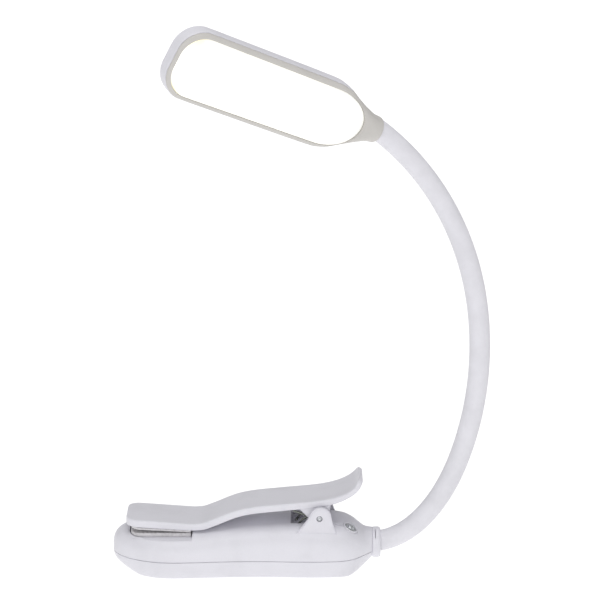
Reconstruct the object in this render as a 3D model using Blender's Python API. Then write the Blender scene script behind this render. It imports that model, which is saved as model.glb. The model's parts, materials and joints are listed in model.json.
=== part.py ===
"""Clip-on reading lamp: clip base, clip lever, bendable neck and flat light head, one object per piece.

Axes: +X from the jaw to the neck, +Z up, -Y to the side the light head faces. The origin is the
middle of the base's flat underside. Sizes are in millimetres and become metres in make().
"""
import bpy
import bmesh
import math
import numpy as np
from mathutils import Matrix, Vector

MM = 0.001
PARTING_HEIGHT = 8.0          # the seam between the lower and upper halves of the base
SEAM_GAP = 0.16
WALL = 1.8
TIP_X, NECK_X = -60.0, 59.3   # the two ends of the base
LEFT_ROUNDING = 29.0          # length over which the jaw end rounds off
NECK_CENTRE_HEIGHT = 11.1
JAW_FLOOR_HEIGHT = 17.2
JAW_LEFT, JAW_RIGHT = -53.4, -23.4
BASE_HALF_WIDTH = [(-31, 21.5), (5, 19.3), (32, 20.0), (43, 18.9), (50, 14.8), (55, 9.2), (59, 6.3)]
BASE_TOP = [(-31, 20.1), (-21, 20.4), (-8, 21.6), (8, 22.5), (40, 22.9), (46, 22.0), (50, 20.3),
            (53, 18.5), (56, 17.2), (59, 17.4)]
BASE_BOTTOM = [(-60, 7.9), (-59.4, 3.4), (-58.2, 1.1), (-55.8, 0.0), (48, 0.0), (52, 0.3), (55, 1.3),
               (57.5, 3.2), (59, 4.8)]
PIN_X, PIN_Z, PIN_RADIUS = 34.6, 27.2, 1.25
EAR_INSIDE, EAR_OUTSIDE = 13.2, 15.7
LEVER_HALF_WIDTH, LEVER_CORNER = 12.6, 6.0
LEVER_LEFT = -53.8
LEVER_TOP = [(LEVER_LEFT, 25.9), (-24, 23.7), (-20, 23.9), (-14.8, 25.6), (-7.7, 28.6),
             (-3, 30.3), (3.5, 31.7), (18.5, 33.3), (33, 34.7), (40.5, 36.1), (46.5, 38.3),
             (50.5, 41.0), (53.0, 44.6)]
LEVER_THICKNESS = [(LEVER_LEFT, 3.4), (-24, 2.7), (-15, 2.9), (10, 2.8), (40, 2.6), (53, 2.1)]
PAD_HALF_WIDTH, PAD_LEFT, PAD_RIGHT = 12.0, -52.4, -24.2
BUTTON_AT = (48.0, -7.2)
BUTTON_RADIUS = 3.5
BUTTON_TRAVEL = 0.8
ARM_START = (62.3, 0.0, 11.2)
ARM_LENGTH = 229.0
ARM_TURN = [(0, 10), (20, 43), (50, 67), (90, 83), (130, 98), (170, 115), (229, 141)]  # degrees
ARM_LEAN_FROM, ARM_LEAN = 100.0, 16.0       # the last stretch leans towards -Y by this many degrees
SLEEVE_RADIUS, SLEEVE_BORE = 4.5, 3.2
CORE_RADIUS, CORE_BORE = 2.9, 1.6
FIRST_JOINT, ARM_BODIES = 8.0, 10
JOINT_SLOPE, JOINT_GAP = 0.135, 0.15        # how far the sleeve ends are cut back to let a joint turn
HEAD_ALONG = (-0.804, -0.457, 0.380)        # from the neck socket to the tip of the head
HEAD_UP = (0.455, -0.080, 0.887)            # across the head, to its upper long side
HEAD_LENGTH = 107.4
HEAD_HALF_WIDTH = [(0, 6.0), (3, 6.1), (8, 7.6), (16, 11.1), (23, 14.4), (29, 15.9), (40, 16.2),
                   (95, 16.5)]
HEAD_TIP_CORNER = 12.0
HEAD_FRONT = [(0, 6.0), (8, 5.9), (101, 5.9), (104.5, 5.7), (106.5, 5.0), (107.4, 4.1)]
HEAD_BACK = [(0, 6.0), (4, 5.9), (12, 5.2), (22, 4.8), (107.4, 4.8)]
HEAD_SPLIT, HEAD_SPLIT_FROM = 2.6, 22.5     # the back cover's front edge, and where it starts
PANEL_NEAR, PANEL_FAR, PANEL_HALF_WIDTH, PANEL_SHIFT = 11.0, 106.1, 13.7, -0.35


def colour(r, g, b):
    return tuple(((c / 255) / 12.92 if c / 255 <= 0.04045 else ((c / 255 + 0.055) / 1.055) ** 2.4)
                 for c in (r, g, b)) + (1.0,)


WHITE_SHELL = colour(226, 226, 231)
PALE_GREY = colour(206, 206, 204)
SILVER = colour(190, 192, 196)
STEEL = colour(150, 152, 156)
RUBBER_GREY = colour(150, 148, 146)
SOFT_WHITE = colour(222, 222, 228)


def curve(points, x):
    """A smooth line through the given (x, y) points, without overshoot."""
    px = np.array([p[0] for p in points], float)
    py = np.array([p[1] for p in points], float)
    d = np.diff(py) / np.diff(px)
    m = np.zeros(len(px))
    m[0], m[-1] = d[0], d[-1]
    for i in range(1, len(px) - 1):
        if d[i - 1] * d[i] > 0:
            w1 = 2 * (px[i + 1] - px[i]) + (px[i] - px[i - 1])
            w2 = (px[i + 1] - px[i]) + 2 * (px[i] - px[i - 1])
            m[i] = (w1 + w2) / (w1 / d[i - 1] + w2 / d[i])
    x = np.clip(np.asarray(x, float), px[0], px[-1])
    i = np.clip(np.searchsorted(px, x) - 1, 0, len(px) - 2)
    h = px[i + 1] - px[i]
    t = (x - px[i]) / h
    return ((2 * t**3 - 3 * t**2 + 1) * py[i] + (t**3 - 2 * t**2 + t) * h * m[i]
            + (-2 * t**3 + 3 * t**2) * py[i + 1] + (t**3 - t**2) * h * m[i + 1])


def unit(v):
    v = np.asarray(v, float)
    return v / np.linalg.norm(v)


# ---------------------------------------------------------------- objects
def make(name, verts, faces, rgba, metallic=0.0, rough=0.5, smooth=True):
    """One closed mesh object from millimetre points."""
    mesh = bpy.data.meshes.new(name)
    mesh.from_pydata([tuple(float(c) * MM for c in v) for v in verts], [], [tuple(f) for f in faces])
    bm = bmesh.new()
    bm.from_mesh(mesh)
    bmesh.ops.remove_doubles(bm, verts=bm.verts, dist=2e-7)
    bmesh.ops.recalc_face_normals(bm, faces=bm.faces)
    bm.to_mesh(mesh)
    bm.free()
    if smooth:
        mesh.shade_smooth()
    obj = bpy.data.objects.new(name, mesh)
    bpy.context.scene.collection.objects.link(obj)
    mat = bpy.data.materials.new(name)
    mat.use_nodes = True
    shader = mat.node_tree.nodes["Principled BSDF"]
    shader.inputs["Base Color"].default_value = rgba
    shader.inputs["Metallic"].default_value = metallic
    shader.inputs["Roughness"].default_value = rough
    mat.diffuse_color = rgba
    obj.data.materials.append(mat)
    return obj


def rings_to_solid(rings, loop=False):
    """Faces through closed rings of equal count. loop joins the last ring to the first."""
    n = len(rings[0])
    verts = [p for r in rings for p in r]
    faces = []
    last = len(rings) if loop else len(rings) - 1
    for i in range(last):
        a, b = i * n, ((i + 1) % len(rings)) * n
        for j in range(n):
            k = (j + 1) % n
            faces.append((a + j, a + k, b + k, b + j))
    if not loop:
        faces.append(tuple(range(n))[::-1])
        faces.append(tuple((len(rings) - 1) * n + j for j in range(n)))
    return verts, faces


def frame_of(axis):
    axis = unit(axis)
    side = np.cross(axis, (0, 0, 1) if abs(axis[2]) < 0.9 else (1, 0, 0))
    side = unit(side)
    return axis, side, np.cross(axis, side)


def turned(profile, at, axis, sides=24, loop=False):
    """A turned piece: profile is (radius, distance along the axis) from one end to the other."""
    axis, side, up = frame_of(axis)
    at = np.asarray(at, float)
    angle = np.linspace(0, 2 * math.pi, sides, endpoint=False)
    rings = [[at + axis * d + r * (math.cos(t) * side + math.sin(t) * up) for t in angle]
             for r, d in profile]
    return rings_to_solid(rings, loop)


def block(low, high):
    (x0, y0, z0), (x1, y1, z1) = low, high
    v = [(x, y, z) for z in (z0, z1) for x, y in ((x0, y0), (x1, y0), (x1, y1), (x0, y1))]
    return v, [(3, 2, 1, 0), (4, 5, 6, 7), (0, 1, 5, 4), (1, 2, 6, 5), (2, 3, 7, 6), (3, 0, 4, 7)]


def join(parts):
    verts, faces = [], []
    for v, f in parts:
        faces += [tuple(i + len(verts) for i in face) for face in f]
        verts += list(v)
    return verts, faces


def extrude_xz(outline, y0, y1):
    """A plate with an outline in X and Z, between two Y values."""
    n = len(outline)
    v = [(x, y0, z) for x, z in outline] + [(x, y1, z) for x, z in outline]
    f = [tuple(range(n)), tuple(range(2 * n - 1, n - 1, -1))]
    f += [(i, n + i, n + (i + 1) % n, (i + 1) % n) for i in range(n)]
    return v, f


def cut(obj, shape, kind="DIFFERENCE"):
    """Cuts a shape out of obj, or joins or keeps it, with an exact Boolean."""
    tool = make(obj.name + "_" + kind.lower() + str(len(obj.modifiers)), *shape, SILVER, smooth=False)
    tool.hide_render = True
    tool.display_type = "WIRE"
    mod = obj.modifiers.new(kind.title(), "BOOLEAN")
    mod.operation = kind
    mod.solver = "EXACT"
    mod.object = tool


def tube_along(points, radius, sides=8):
    """A closed round bar through points."""
    pts = [np.asarray(p, float) for p in points]
    tangents = [unit(pts[min(i + 1, len(pts) - 1)] - pts[max(i - 1, 0)]) for i in range(len(pts))]
    side = frame_of(tangents[0])[1]
    rings = []
    for p, t in zip(pts, tangents):
        side = unit(side - np.dot(side, t) * t)
        up = np.cross(t, side)
        rings.append([p + radius * (math.cos(a) * side + math.sin(a) * up)
                      for a in np.linspace(0, 2 * math.pi, sides, endpoint=False)])
    return rings_to_solid(rings)


# ---------------------------------------------------------------- the base
def left_end(x, power):
    """1 along the base, falling to 0 at the jaw tip."""
    d = np.clip((-31.0 - x) / LEFT_ROUNDING, 0, 1)
    return (1 - d**power) ** (1 / power)


def base_size(x, inset):
    """Half width, top, bottom, widest height and roundness of the base at x, moved in by inset."""
    end = left_end(x, 2.0)
    half = float(curve(BASE_HALF_WIDTH, x)) * end
    top = PARTING_HEIGHT + (float(curve(BASE_TOP, x)) - PARTING_HEIGHT) * left_end(x, 4.0)
    bottom = float(curve(BASE_BOTTOM, x))
    neck = float(np.clip((x - 47.0) / 11.0, 0, 1))
    neck = neck * neck * (3 - 2 * neck)
    middle = PARTING_HEIGHT + (NECK_CENTRE_HEIGHT - PARTING_HEIGHT) * neck
    if inset:
        top = min(top - inset, JAW_FLOOR_HEIGHT - inset + max(0.0, (x + 19.0)) * 0.8)
        bottom += inset
        half -= inset
    return max(half, 0.02), max(top, middle + 0.02), min(bottom, middle - 0.02), middle, 2.8 - 0.8 * neck


def base_top_at(x, y):
    half, top, _, middle, power = base_size(x, 0)
    return middle + (top - middle) * max(0.0, 1 - abs(y / half) ** power) ** (1 / power)


LOWER_BOX = [(1.0, 0.0), (0.997, 0.35), (0.99, 0.68), (0.975, 0.88), (0.952, 0.975), (0.925, 1.0)]


def section(x, inset, upper, steps, place_x=None):
    """Points of one half of the base's cross-section, from +Y over to -Y."""
    half, top, bottom, middle, power = base_size(x, inset)
    neck = (middle - PARTING_HEIGHT) / (NECK_CENTRE_HEIGHT - PARTING_HEIGHT)
    seam = PARTING_HEIGHT + (SEAM_GAP / 2 if upper else -SEAM_GAP / 2)
    drop = min(max((middle - seam) / (middle - bottom), 0.0), 1.0)
    start = -math.asin(drop)
    pts = []
    if upper:
        for t in np.linspace(start, math.pi - start, steps):
            c, s = math.cos(t), math.sin(t)
            e = 2 / power if s > 0 else 1.0
            y = half * math.copysign(abs(c) ** e, c)
            z = middle + ((top - middle) * abs(s) ** e if s > 0 else -(middle - bottom) * abs(s))
            pts.append((y, max(z, seam)))
        pts[0], pts[-1] = (pts[0][0], seam), (pts[-1][0], seam)
    else:
        side = []
        for i, (fy, fz) in enumerate(LOWER_BOX):
            t = -start + (math.pi / 2 + start) * i / (len(LOWER_BOX) - 1) * 0.86
            round_y, round_z = half * math.cos(t), middle - (middle - bottom) * math.sin(t)
            box_y, box_z = half * fy, seam - (seam - bottom) * fz
            side.append((round_y * neck + box_y * (1 - neck), min(round_z * neck + box_z * (1 - neck), seam)))
        side[0] = (side[0][0], seam)
        pts = side + [(-y, z) for y, z in side[::-1]]
    px = x if place_x is None else place_x
    return [(px, y, z) for y, z in pts]


def thick_half(upper, steps, stations):
    """Half of the base as a thick open cup: outside skin, inside skin and the rims between them."""
    outer, inner = [], []
    for x in stations:
        outer.append(section(x, 0, upper, steps))
        inside_x = TIP_X + WALL + (x - TIP_X) * (NECK_X - TIP_X - WALL) / (NECK_X - TIP_X)
        inner.append(section(x, WALL, upper, steps, inside_x))
    n = len(outer[0])
    rows = len(stations)
    verts = [p for r in outer for p in r] + [p for r in inner for p in r]
    shift = rows * n
    faces = []
    for i in range(rows - 1):
        for j in range(n - 1):
            a, b = i * n + j, (i + 1) * n + j
            faces.append((a, a + 1, b + 1, b))
            faces.append((shift + b, shift + b + 1, shift + a + 1, shift + a))
        for j in (0, n - 1):
            a, b = i * n + j, (i + 1) * n + j
            faces.append((a, b, shift + b, shift + a))
    for j in range(n - 1):
        for a in (j, (rows - 1) * n + j):
            faces.append((a, a + 1, shift + a + 1, shift + a))
    return verts, faces


def base_stations():
    left = [TIP_X + LEFT_ROUNDING * (1 - math.cos(t)) for t in np.linspace(0.09, math.pi / 2, 9)]
    return left + [-23, -14, -4, 8, 20, 32, 40, 44, 47.5, 50.5, 53.5, 56, 59]


SCREWS = [(-48.5, -6.5), (-48.5, 6.5), (7.0, -13.6), (7.0, 13.6)]


def build_base():
    stations = base_stations()
    lower = make("base_lower_shell", *thick_half(False, 0, stations), WHITE_SHELL)
    posts = join([turned([(2.7, 1.0), (2.7, PARTING_HEIGHT - 0.3)], (x, y, 0), (0, 0, 1), 16)
                  for x, y in SCREWS])
    cut(lower, posts, "UNION")
    cut(lower, join([turned([(2.6, -1), (2.6, 3.2), (1.35, 3.2), (1.35, 9)], (x, y, 0), (0, 0, 1), 16)
                     for x, y in SCREWS]))
    cut(lower, block((17.2, 15.0, 2.5), (26.8, 24.0, 6.1)))

    upper = make("base_upper_shell", *thick_half(True, 19, stations), WHITE_SHELL)
    bosses = join([turned([(2.7, PARTING_HEIGHT + 0.15), (2.7, 16.6 if x < 0 else 17.4)], (x, y, 0),
                          (0, 0, 1), 16) for x, y in SCREWS])
    cut(upper, bosses, "UNION")
    top = PIN_Z + 4.6
    ears = []
    for side in (-1, 1):
        outline = [(24.0, 15.5), (42.0, 15.5), (42.0, 18.5)]
        outline += [(PIN_X + 4.9 * math.cos(a), PIN_Z + 4.9 * math.sin(a))
                    for a in np.radians(np.linspace(24, 136, 11))]
        outline += [(24.0, 18.5)]
        ears.append(extrude_xz(outline, *sorted((side * EAR_INSIDE, side * EAR_OUTSIDE))))
    cut(upper, join(ears), "UNION")
    cut(upper, join([turned([(1.2, 6.0), (1.2, 14.6)], (x, y, 0), (0, 0, 1), 12) for x, y in SCREWS]))
    cut(upper, turned([(PIN_RADIUS + 0.1, -20), (PIN_RADIUS + 0.1, 20)], (PIN_X, 0, PIN_Z), (0, 1, 0), 20))
    cut(upper, jaw_pocket())
    cut(upper, turned([(4.8, -6.5), (4.8, 6)], *button_place(), 26))
    cut(upper, spring_slot())
    return lower, upper


def jaw_pocket():
    """The flat step for the lower jaw pad, open at both sides and rounded at the tip end."""
    r = 6.6
    corner = [(JAW_LEFT + r - r * math.sin(a), 13.2 - r + r * math.cos(a))
              for a in np.linspace(0, math.pi / 2, 6)]
    outline = [(JAW_RIGHT, -24), (JAW_RIGHT, 24), (JAW_LEFT + r, 24)] + corner
    outline += [(x, -y) for x, y in corner[::-1]] + [(JAW_LEFT + r, -24)]
    n = len(outline)
    v = [(x, y, JAW_FLOOR_HEIGHT) for x, y in outline] + [(x, y, 30) for x, y in outline]
    f = [tuple(range(n))[::-1], tuple(range(n, 2 * n))]
    f += [(i, (i + 1) % n, n + (i + 1) % n, n + i) for i in range(n)]
    return v, f


def spring_slot():
    return block((21.6, -9.2, 10.0), (28.4, 9.2, 30.0))


def button_place():
    """Centre of the power button on the base's shoulder, and the way it faces."""
    x, y = BUTTON_AT
    e = 0.5
    dx = (base_top_at(x + e, y) - base_top_at(x - e, y)) / (2 * e)
    dy = (base_top_at(x, y + e) - base_top_at(x, y - e)) / (2 * e)
    return np.array((x, y, base_top_at(x, y))), unit((-dx, -dy, 1.0))


def build_base_fittings():
    for i, (x, y) in enumerate(SCREWS):
        make(f"base_screw_{i + 1}", *turned([(2.1, 1.4), (2.3, 1.9), (2.3, 3.0), (1.05, 3.0), (1.05, 13.6)],
                                            (x, y, 0), (0, 0, 1), 14), STEEL, 1.0, 0.35)
    make("battery_cell", *block((-43.0, -13.6, 2.7), (0.5, 9.6, 9.8)), colour(120, 150, 180))
    make("battery_foam_pad", *block((-40.0, -11.0, 1.95), (-3.0, 8.0, 2.55)), colour(60, 60, 62), 0, 0.9)
    board = make("control_board", *block((12.0, -12.0, 2.6), (40.0, 11.6, 3.8)), colour(40, 110, 70))
    place, axis = button_place()
    switch = place - axis * 4.2
    make("switch_board", *turned([(3.4, -3.1), (3.4, -2.2)], switch, axis, 16), colour(40, 110, 70))
    make("tact_switch", *turned([(2.6, -2.1), (2.6, -0.8), (1.2, -0.8), (1.2, 0.0)], switch, axis, 16),
         colour(50, 50, 52))
    port = make("charging_port", *block((17.6, 12.2, 3.9), (26.4, 19.5, 5.75)), SILVER, 1.0, 0.3)
    cut(port, block((18.1, 13.2, 4.25), (25.9, 21.0, 5.4)))
    ring_low = -1.6
    make("button_ring", *turned([(3.75, ring_low), (4.6, ring_low), (4.6, 0.35), (4.4, 0.6),
                                 (3.95, 0.6), (3.75, 0.4)], place, axis, 26, loop=True), SILVER, 1.0, 0.2)
    make("power_button", *turned([(1.3, -3.3), (1.3, -1.4), (BUTTON_RADIUS, -1.4), (BUTTON_RADIUS, 0.7),
                                  (3.2, 1.0), (2.2, 1.25), (0.8, 1.4)], place, axis, 24), SILVER, 0.6, 0.25)
    make("lower_jaw_pad", *pad_shape(JAW_FLOOR_HEIGHT + 0.05, JAW_FLOOR_HEIGHT + 0.05,
                                     JAW_FLOOR_HEIGHT + 1.95, JAW_FLOOR_HEIGHT + 1.95), RUBBER_GREY, 0, 0.8)
    make("collar_ring", *turned([(4.95, 59.6), (6.25, 59.6), (6.65, 60.1), (6.65, 62.1), (6.1, 63.0),
                                 (4.95, 63.0)], (0, 0, NECK_CENTRE_HEIGHT), (1, 0, 0), 28, loop=True),
         WHITE_SHELL)
    make("neck_anchor", *turned([(1.8, 49.5), (3.7, 49.5), (3.7, 56.0), (1.8, 56.0)],
                                (0, 0, NECK_CENTRE_HEIGHT), (1, 0, 0), 16, loop=True), STEEL, 1.0, 0.35)
    make("pivot_pin", *turned([(PIN_RADIUS - 0.25, -15.3), (PIN_RADIUS, -15.05), (PIN_RADIUS, 15.05),
                               (PIN_RADIUS - 0.25, 15.3)], (PIN_X, 0, PIN_Z), (0, 1, 0), 20), SILVER, 1.0, 0.25)
    make("torsion_spring", *spring_shape(), STEEL, 1.0, 0.3)
    make("battery_lead", *tube_along([(1.2, 2.0, 7.5), (4.0, 2.5, 8.6), (9.0, 3.5, 8.0), (12.6, 4.0, 6.2),
                                      (14.2, 4.0, 4.4)], 0.7), colour(190, 60, 50))
    make("switch_lead", *tube_along([(30.0, -6.0, 4.4), (33.0, -6.4, 7.6), (38.0, -6.6, 11.0),
                                     (43.0, -6.6, 12.6)], 0.6), colour(60, 60, 64))
    make("arm_lead", *tube_along([(36.0, 4.0, 4.4), (38.5, 3.6, 7.0), (41.0, 1.8, 9.8), (45.0, 0, 11.0),
                                  (52.0, 0, 11.0), (55.4, 0, 11.0)], 1.0), colour(60, 60, 64))
    return board


def spring_shape():
    """A double torsion spring on the pivot pin: its bridge presses on the base, its legs on the lever."""
    turns, radius, wire, pitch, inner = 4, 2.95, 0.5, 1.12, 5.2
    half = []
    for i in range(turns * 14 + 1):
        a = math.radians(205) + 2 * math.pi * i / 14
        half.append(np.array((PIN_X + radius * math.cos(a), inner + pitch * i / 14,
                              PIN_Z + radius * math.sin(a))))
    end = half[-1]
    half += [end + (-3.0, 0.1, 1.0), end + (-6.5, 0.1, 2.3), end + (-9.4, 0.1, 3.3)]
    bridge = [np.array((29.4, inner, 24.9)), np.array((26.6, inner, 23.2)), np.array((24.2, inner, 19.9)),
              np.array((22.8, inner - 1.6, 18.2)), np.array((22.8, 0, 18.2))]
    right = bridge[::-1] + half
    left = [p * (1, -1, 1) for p in right[:0:-1]]
    return tube_along(left + right, wire, 6)


# ---------------------------------------------------------------- the clip lever
def jaw_line(points, x):
    """The smooth curve, but straight over the jaw, where the pad lies flat against the lever."""
    (x0, y0), (x1, y1) = points[:2]
    return np.where(x <= x1, y0 + (x - x0) * (y1 - y0) / (x1 - x0), curve(points, x))


def lever_line():
    """Stations along the lever: distance from each end, top point and the way down through it."""
    xs = np.concatenate([np.linspace(LEVER_LEFT, -48.8, 5), np.linspace(-44, -24, 4),
                         [-22, -20, -17.5, -14.8, -11, -7.7, -3, 3.5, 11, 18.5, 26, 33, 37, 40.5],
                         np.linspace(43, 53, 8)])
    zs = jaw_line(LEVER_TOP, xs)
    p = np.stack([xs, zs], 1)
    away = np.concatenate([[0], np.cumsum(np.hypot(*np.diff(p, axis=0).T))])
    t = np.gradient(p, away, axis=0)
    t /= np.linalg.norm(t, axis=1)[:, None]
    down = np.stack([t[:, 1], -t[:, 0]], 1)
    down[xs <= -24] = (0.0, -1.0)
    return xs, p, down, away


def build_lever():
    xs, p, down, away = lever_line()
    thick = jaw_line(LEVER_THICKNESS, xs)
    rings = []
    for i in range(len(xs)):
        d = min(away[i], away[-1] - away[i])
        inset = LEVER_CORNER - math.sqrt(max(LEVER_CORNER**2 - max(LEVER_CORNER - d, 0) ** 2, 0.0))
        half = LEVER_HALF_WIDTH - inset
        edge = min(0.7, thick[i] * 0.3)
        profile = [(half, edge), (half, thick[i] - edge), (half - edge, thick[i]), (-half + edge, thick[i]),
                   (-half, thick[i] - edge), (-half, edge), (-half + edge, 0), (half - edge, 0)]
        rings.append([(p[i][0] + down[i][0] * dd, y, p[i][1] + down[i][1] * dd) for y, dd in profile])
    lever = make("clip_lever", *rings_to_solid(rings), WHITE_SHELL)
    lugs = []
    for side in (-1, 1):
        outline = [(24.6, 31.6), (40.2, 34.2), (39.2, 30.1)]
        outline += [(PIN_X + 3.5 * math.cos(a), PIN_Z + 3.5 * math.sin(a))
                    for a in np.radians(np.linspace(0, -140, 8))]
        outline += [(28.8, 27.4)]
        lugs.append(extrude_xz(outline, *sorted((side * 10.6, side * 12.5))))
    cut(lever, join(lugs), "UNION")
    cut(lever, turned([(PIN_RADIUS + 0.1, -20), (PIN_RADIUS + 0.1, 20)], (PIN_X, 0, PIN_Z), (0, 1, 0), 20))
    under = (23.7 - 2.7, 25.9 - 3.4)
    slope = (under[1] - under[0]) / (LEVER_LEFT + 24.0)
    at = [under[0] + slope * (x + 24.0) for x in (PAD_LEFT, PAD_RIGHT)]
    make("upper_jaw_pad", *pad_shape(at[0] - 1.5, at[1] - 1.5, at[0] - 0.05, at[1] - 0.05),
         RUBBER_GREY, 0, 0.8)


def pad_shape(low_left, low_right, high_left, high_right):
    """A rubber pad with rounded corners at the tip end, its faces level or tilted along X."""
    r = 5.2
    outline = [(PAD_RIGHT, -PAD_HALF_WIDTH), (PAD_RIGHT, PAD_HALF_WIDTH)]
    corner = [(PAD_LEFT + r - r * math.sin(a), PAD_HALF_WIDTH - r + r * math.cos(a))
              for a in np.linspace(0, math.pi / 2, 6)]
    outline += corner + [(x, -y) for x, y in corner[::-1]]
    n = len(outline)
    share = [(x - PAD_LEFT) / (PAD_RIGHT - PAD_LEFT) for x, _ in outline]
    v = [(x, y, low_left + (low_right - low_left) * s) for (x, y), s in zip(outline, share)]
    v += [(x, y, high_left + (high_right - high_left) * s) for (x, y), s in zip(outline, share)]
    f = [tuple(range(n))[::-1], tuple(range(n, 2 * n))]
    f += [(i, (i + 1) % n, n + (i + 1) % n, n + i) for i in range(n)]
    return v, f


# ---------------------------------------------------------------- the bendable neck
def arm_tangent(s):
    rise = math.radians(float(curve(ARM_TURN, s))) * min(1.0, max(0.0, 1.0 + s / 5.0))
    lean = math.radians(ARM_LEAN) * max(0.0, (s - ARM_LEAN_FROM) / (ARM_LENGTH - ARM_LEAN_FROM)) ** 2
    return np.array((math.cos(lean) * math.cos(rise), -math.sin(lean), math.cos(lean) * math.sin(rise)))


def arm_table():
    step = 0.25
    s = np.arange(-6.0, ARM_LENGTH + 8.0, step)
    t = np.array([arm_tangent(min(v, ARM_LENGTH)) for v in s])
    p = np.concatenate([[np.zeros(3)], np.cumsum((t[1:] + t[:-1]) / 2 * step, axis=0)])
    zero = int(round(6.0 / step))
    return s, p - p[zero] + np.array(ARM_START)


ARM_S, ARM_P = arm_table()


def arm_point(s):
    return np.array([np.interp(s, ARM_S, ARM_P[:, k]) for k in range(3)])


def arm_frame(s):
    """Point, tangent, the axis of an in-plane bend, and the axis of a sideways bend."""
    t = arm_tangent(min(s, ARM_LENGTH))
    across = unit(np.array((0.0, 1.0, 0.0)) - t[1] * t)
    return arm_point(s), t, across, np.cross(t, across)


def joint_places():
    pitch = (ARM_LENGTH - FIRST_JOINT) / ARM_BODIES
    return [FIRST_JOINT + pitch * i for i in range(ARM_BODIES)]


def arm_piece(name, s0, s1, cut0, cut1, radius, bore, rgba, sides, rows, metallic=0.0, rough=0.5):
    """One stretch of tube. Its ends are cut back in a cone where a joint lets it turn."""
    def ring(s, r):
        p, _, u, w = arm_frame(s)
        return [p + r * (math.cos(a) * u + math.sin(a) * w)
                for a in np.linspace(0, 2 * math.pi, sides, endpoint=False)]

    def back(r, on):
        return (JOINT_GAP + JOINT_SLOPE * r) if on else 0.0
    outer = [ring(s, radius) for s in np.linspace(s0 + back(radius, cut0), s1 - back(radius, cut1), rows)]
    inner = [ring(s, bore) for s in np.linspace(s1 - back(bore, cut1), s0 + back(bore, cut0), rows)]
    return make(name, *rings_to_solid(outer + inner, loop=True), rgba, metallic, rough)


def build_arm():
    places = joint_places()
    bounds = [-3.2] + places + [ARM_LENGTH + 1.0]
    for i in range(len(bounds) - 1):
        first, last = i == 0, i == len(bounds) - 2
        arm_piece(f"arm_sleeve_{i}", bounds[i], bounds[i + 1], not first, not last, SLEEVE_RADIUS,
                  SLEEVE_BORE, SOFT_WHITE, 18, 4)
        arm_piece(f"arm_core_{i}", -5.5 if first else bounds[i], bounds[i + 1] + (4.0 if last else 0),
                  not first, not last, CORE_RADIUS, CORE_BORE, STEEL, 10, 3, 1.0, 0.35)


# ---------------------------------------------------------------- the light head
def head_axes():
    a = unit(HEAD_ALONG)
    v = unit(np.array(HEAD_UP) - np.dot(HEAD_UP, a) * a)
    return a, v, -np.cross(a, v)


def head_point(u, v, w):
    """u from the socket to the tip, v to the upper long side, w out of the lit face."""
    a, s, n = head_axes()
    return arm_point(ARM_LENGTH) + a * u + s * v + n * w


def head_half_width(u):
    half = float(curve(HEAD_HALF_WIDTH, u))
    r = HEAD_TIP_CORNER
    d = HEAD_LENGTH - u
    if d < r:
        half -= r - math.sqrt(max(r * r - (r - d) ** 2, 0.0))
    return half


def head_section(u, count=28):
    half = head_half_width(u)
    front, back = float(curve(HEAD_FRONT, u)), float(curve(HEAD_BACK, u))
    grow = float(np.clip(u / 26.0, 0, 1))
    power = 2.0 + 4.0 * grow * grow * (3 - 2 * grow)
    pts = []
    for t in np.linspace(0, 2 * math.pi, count, endpoint=False):
        c, s = math.cos(t), math.sin(t)
        v = half * math.copysign(abs(c) ** (2 / power), c)
        depth = front if s > 0 else back
        pts.append((v, depth * math.copysign(abs(s) ** (2 / power), s)))
    return pts


def head_solid():
    us = [0, 1.5, 4, 8, 12, 16, 20, 23, 26, 29, 34, 60, 90, 97]
    us += [HEAD_LENGTH - HEAD_TIP_CORNER * (1 - math.sin(t)) for t in np.linspace(0.16, math.pi / 2, 7)]
    rings = [[head_point(u, v, w) for v, w in head_section(u)] for u in us]
    return rings_to_solid(rings)


def panel_outline(grow, count=14):
    """The lit panel's outline: rounded corners at the tip, a long round end at the neck."""
    h = PANEL_HALF_WIDTH + grow
    near, far, r = PANEL_NEAR - grow, PANEL_FAR + grow, 10.5 + grow
    pts = []
    for t in np.linspace(0, math.pi / 2, 7):
        pts.append((far - r + r * math.cos(t), h - r + r * math.sin(t)))
    for t in np.linspace(math.pi / 2, 3 * math.pi / 2, count + 1):
        long_end = 19.0 + grow
        pts.append((near + long_end + long_end * math.cos(t), (h - 0.5) * math.sin(t)))
    for t in np.linspace(-math.pi / 2, 0, 7):
        pts.append((far - r + r * math.cos(t), -h + r + r * math.sin(t)))
    return [(u, v + PANEL_SHIFT) for u, v in pts]


def head_prism(outline, w0, w1):
    n = len(outline)
    v = [head_point(u, y, w0) for u, y in outline] + [head_point(u, y, w1) for u, y in outline]
    f = [tuple(range(n))[::-1], tuple(range(n, 2 * n))]
    f += [(i, (i + 1) % n, n + (i + 1) % n, n + i) for i in range(n)]
    return v, f


def head_block(low, high):
    v, f = block(low, high)
    return [head_point(*p) for p in v], f


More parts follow.
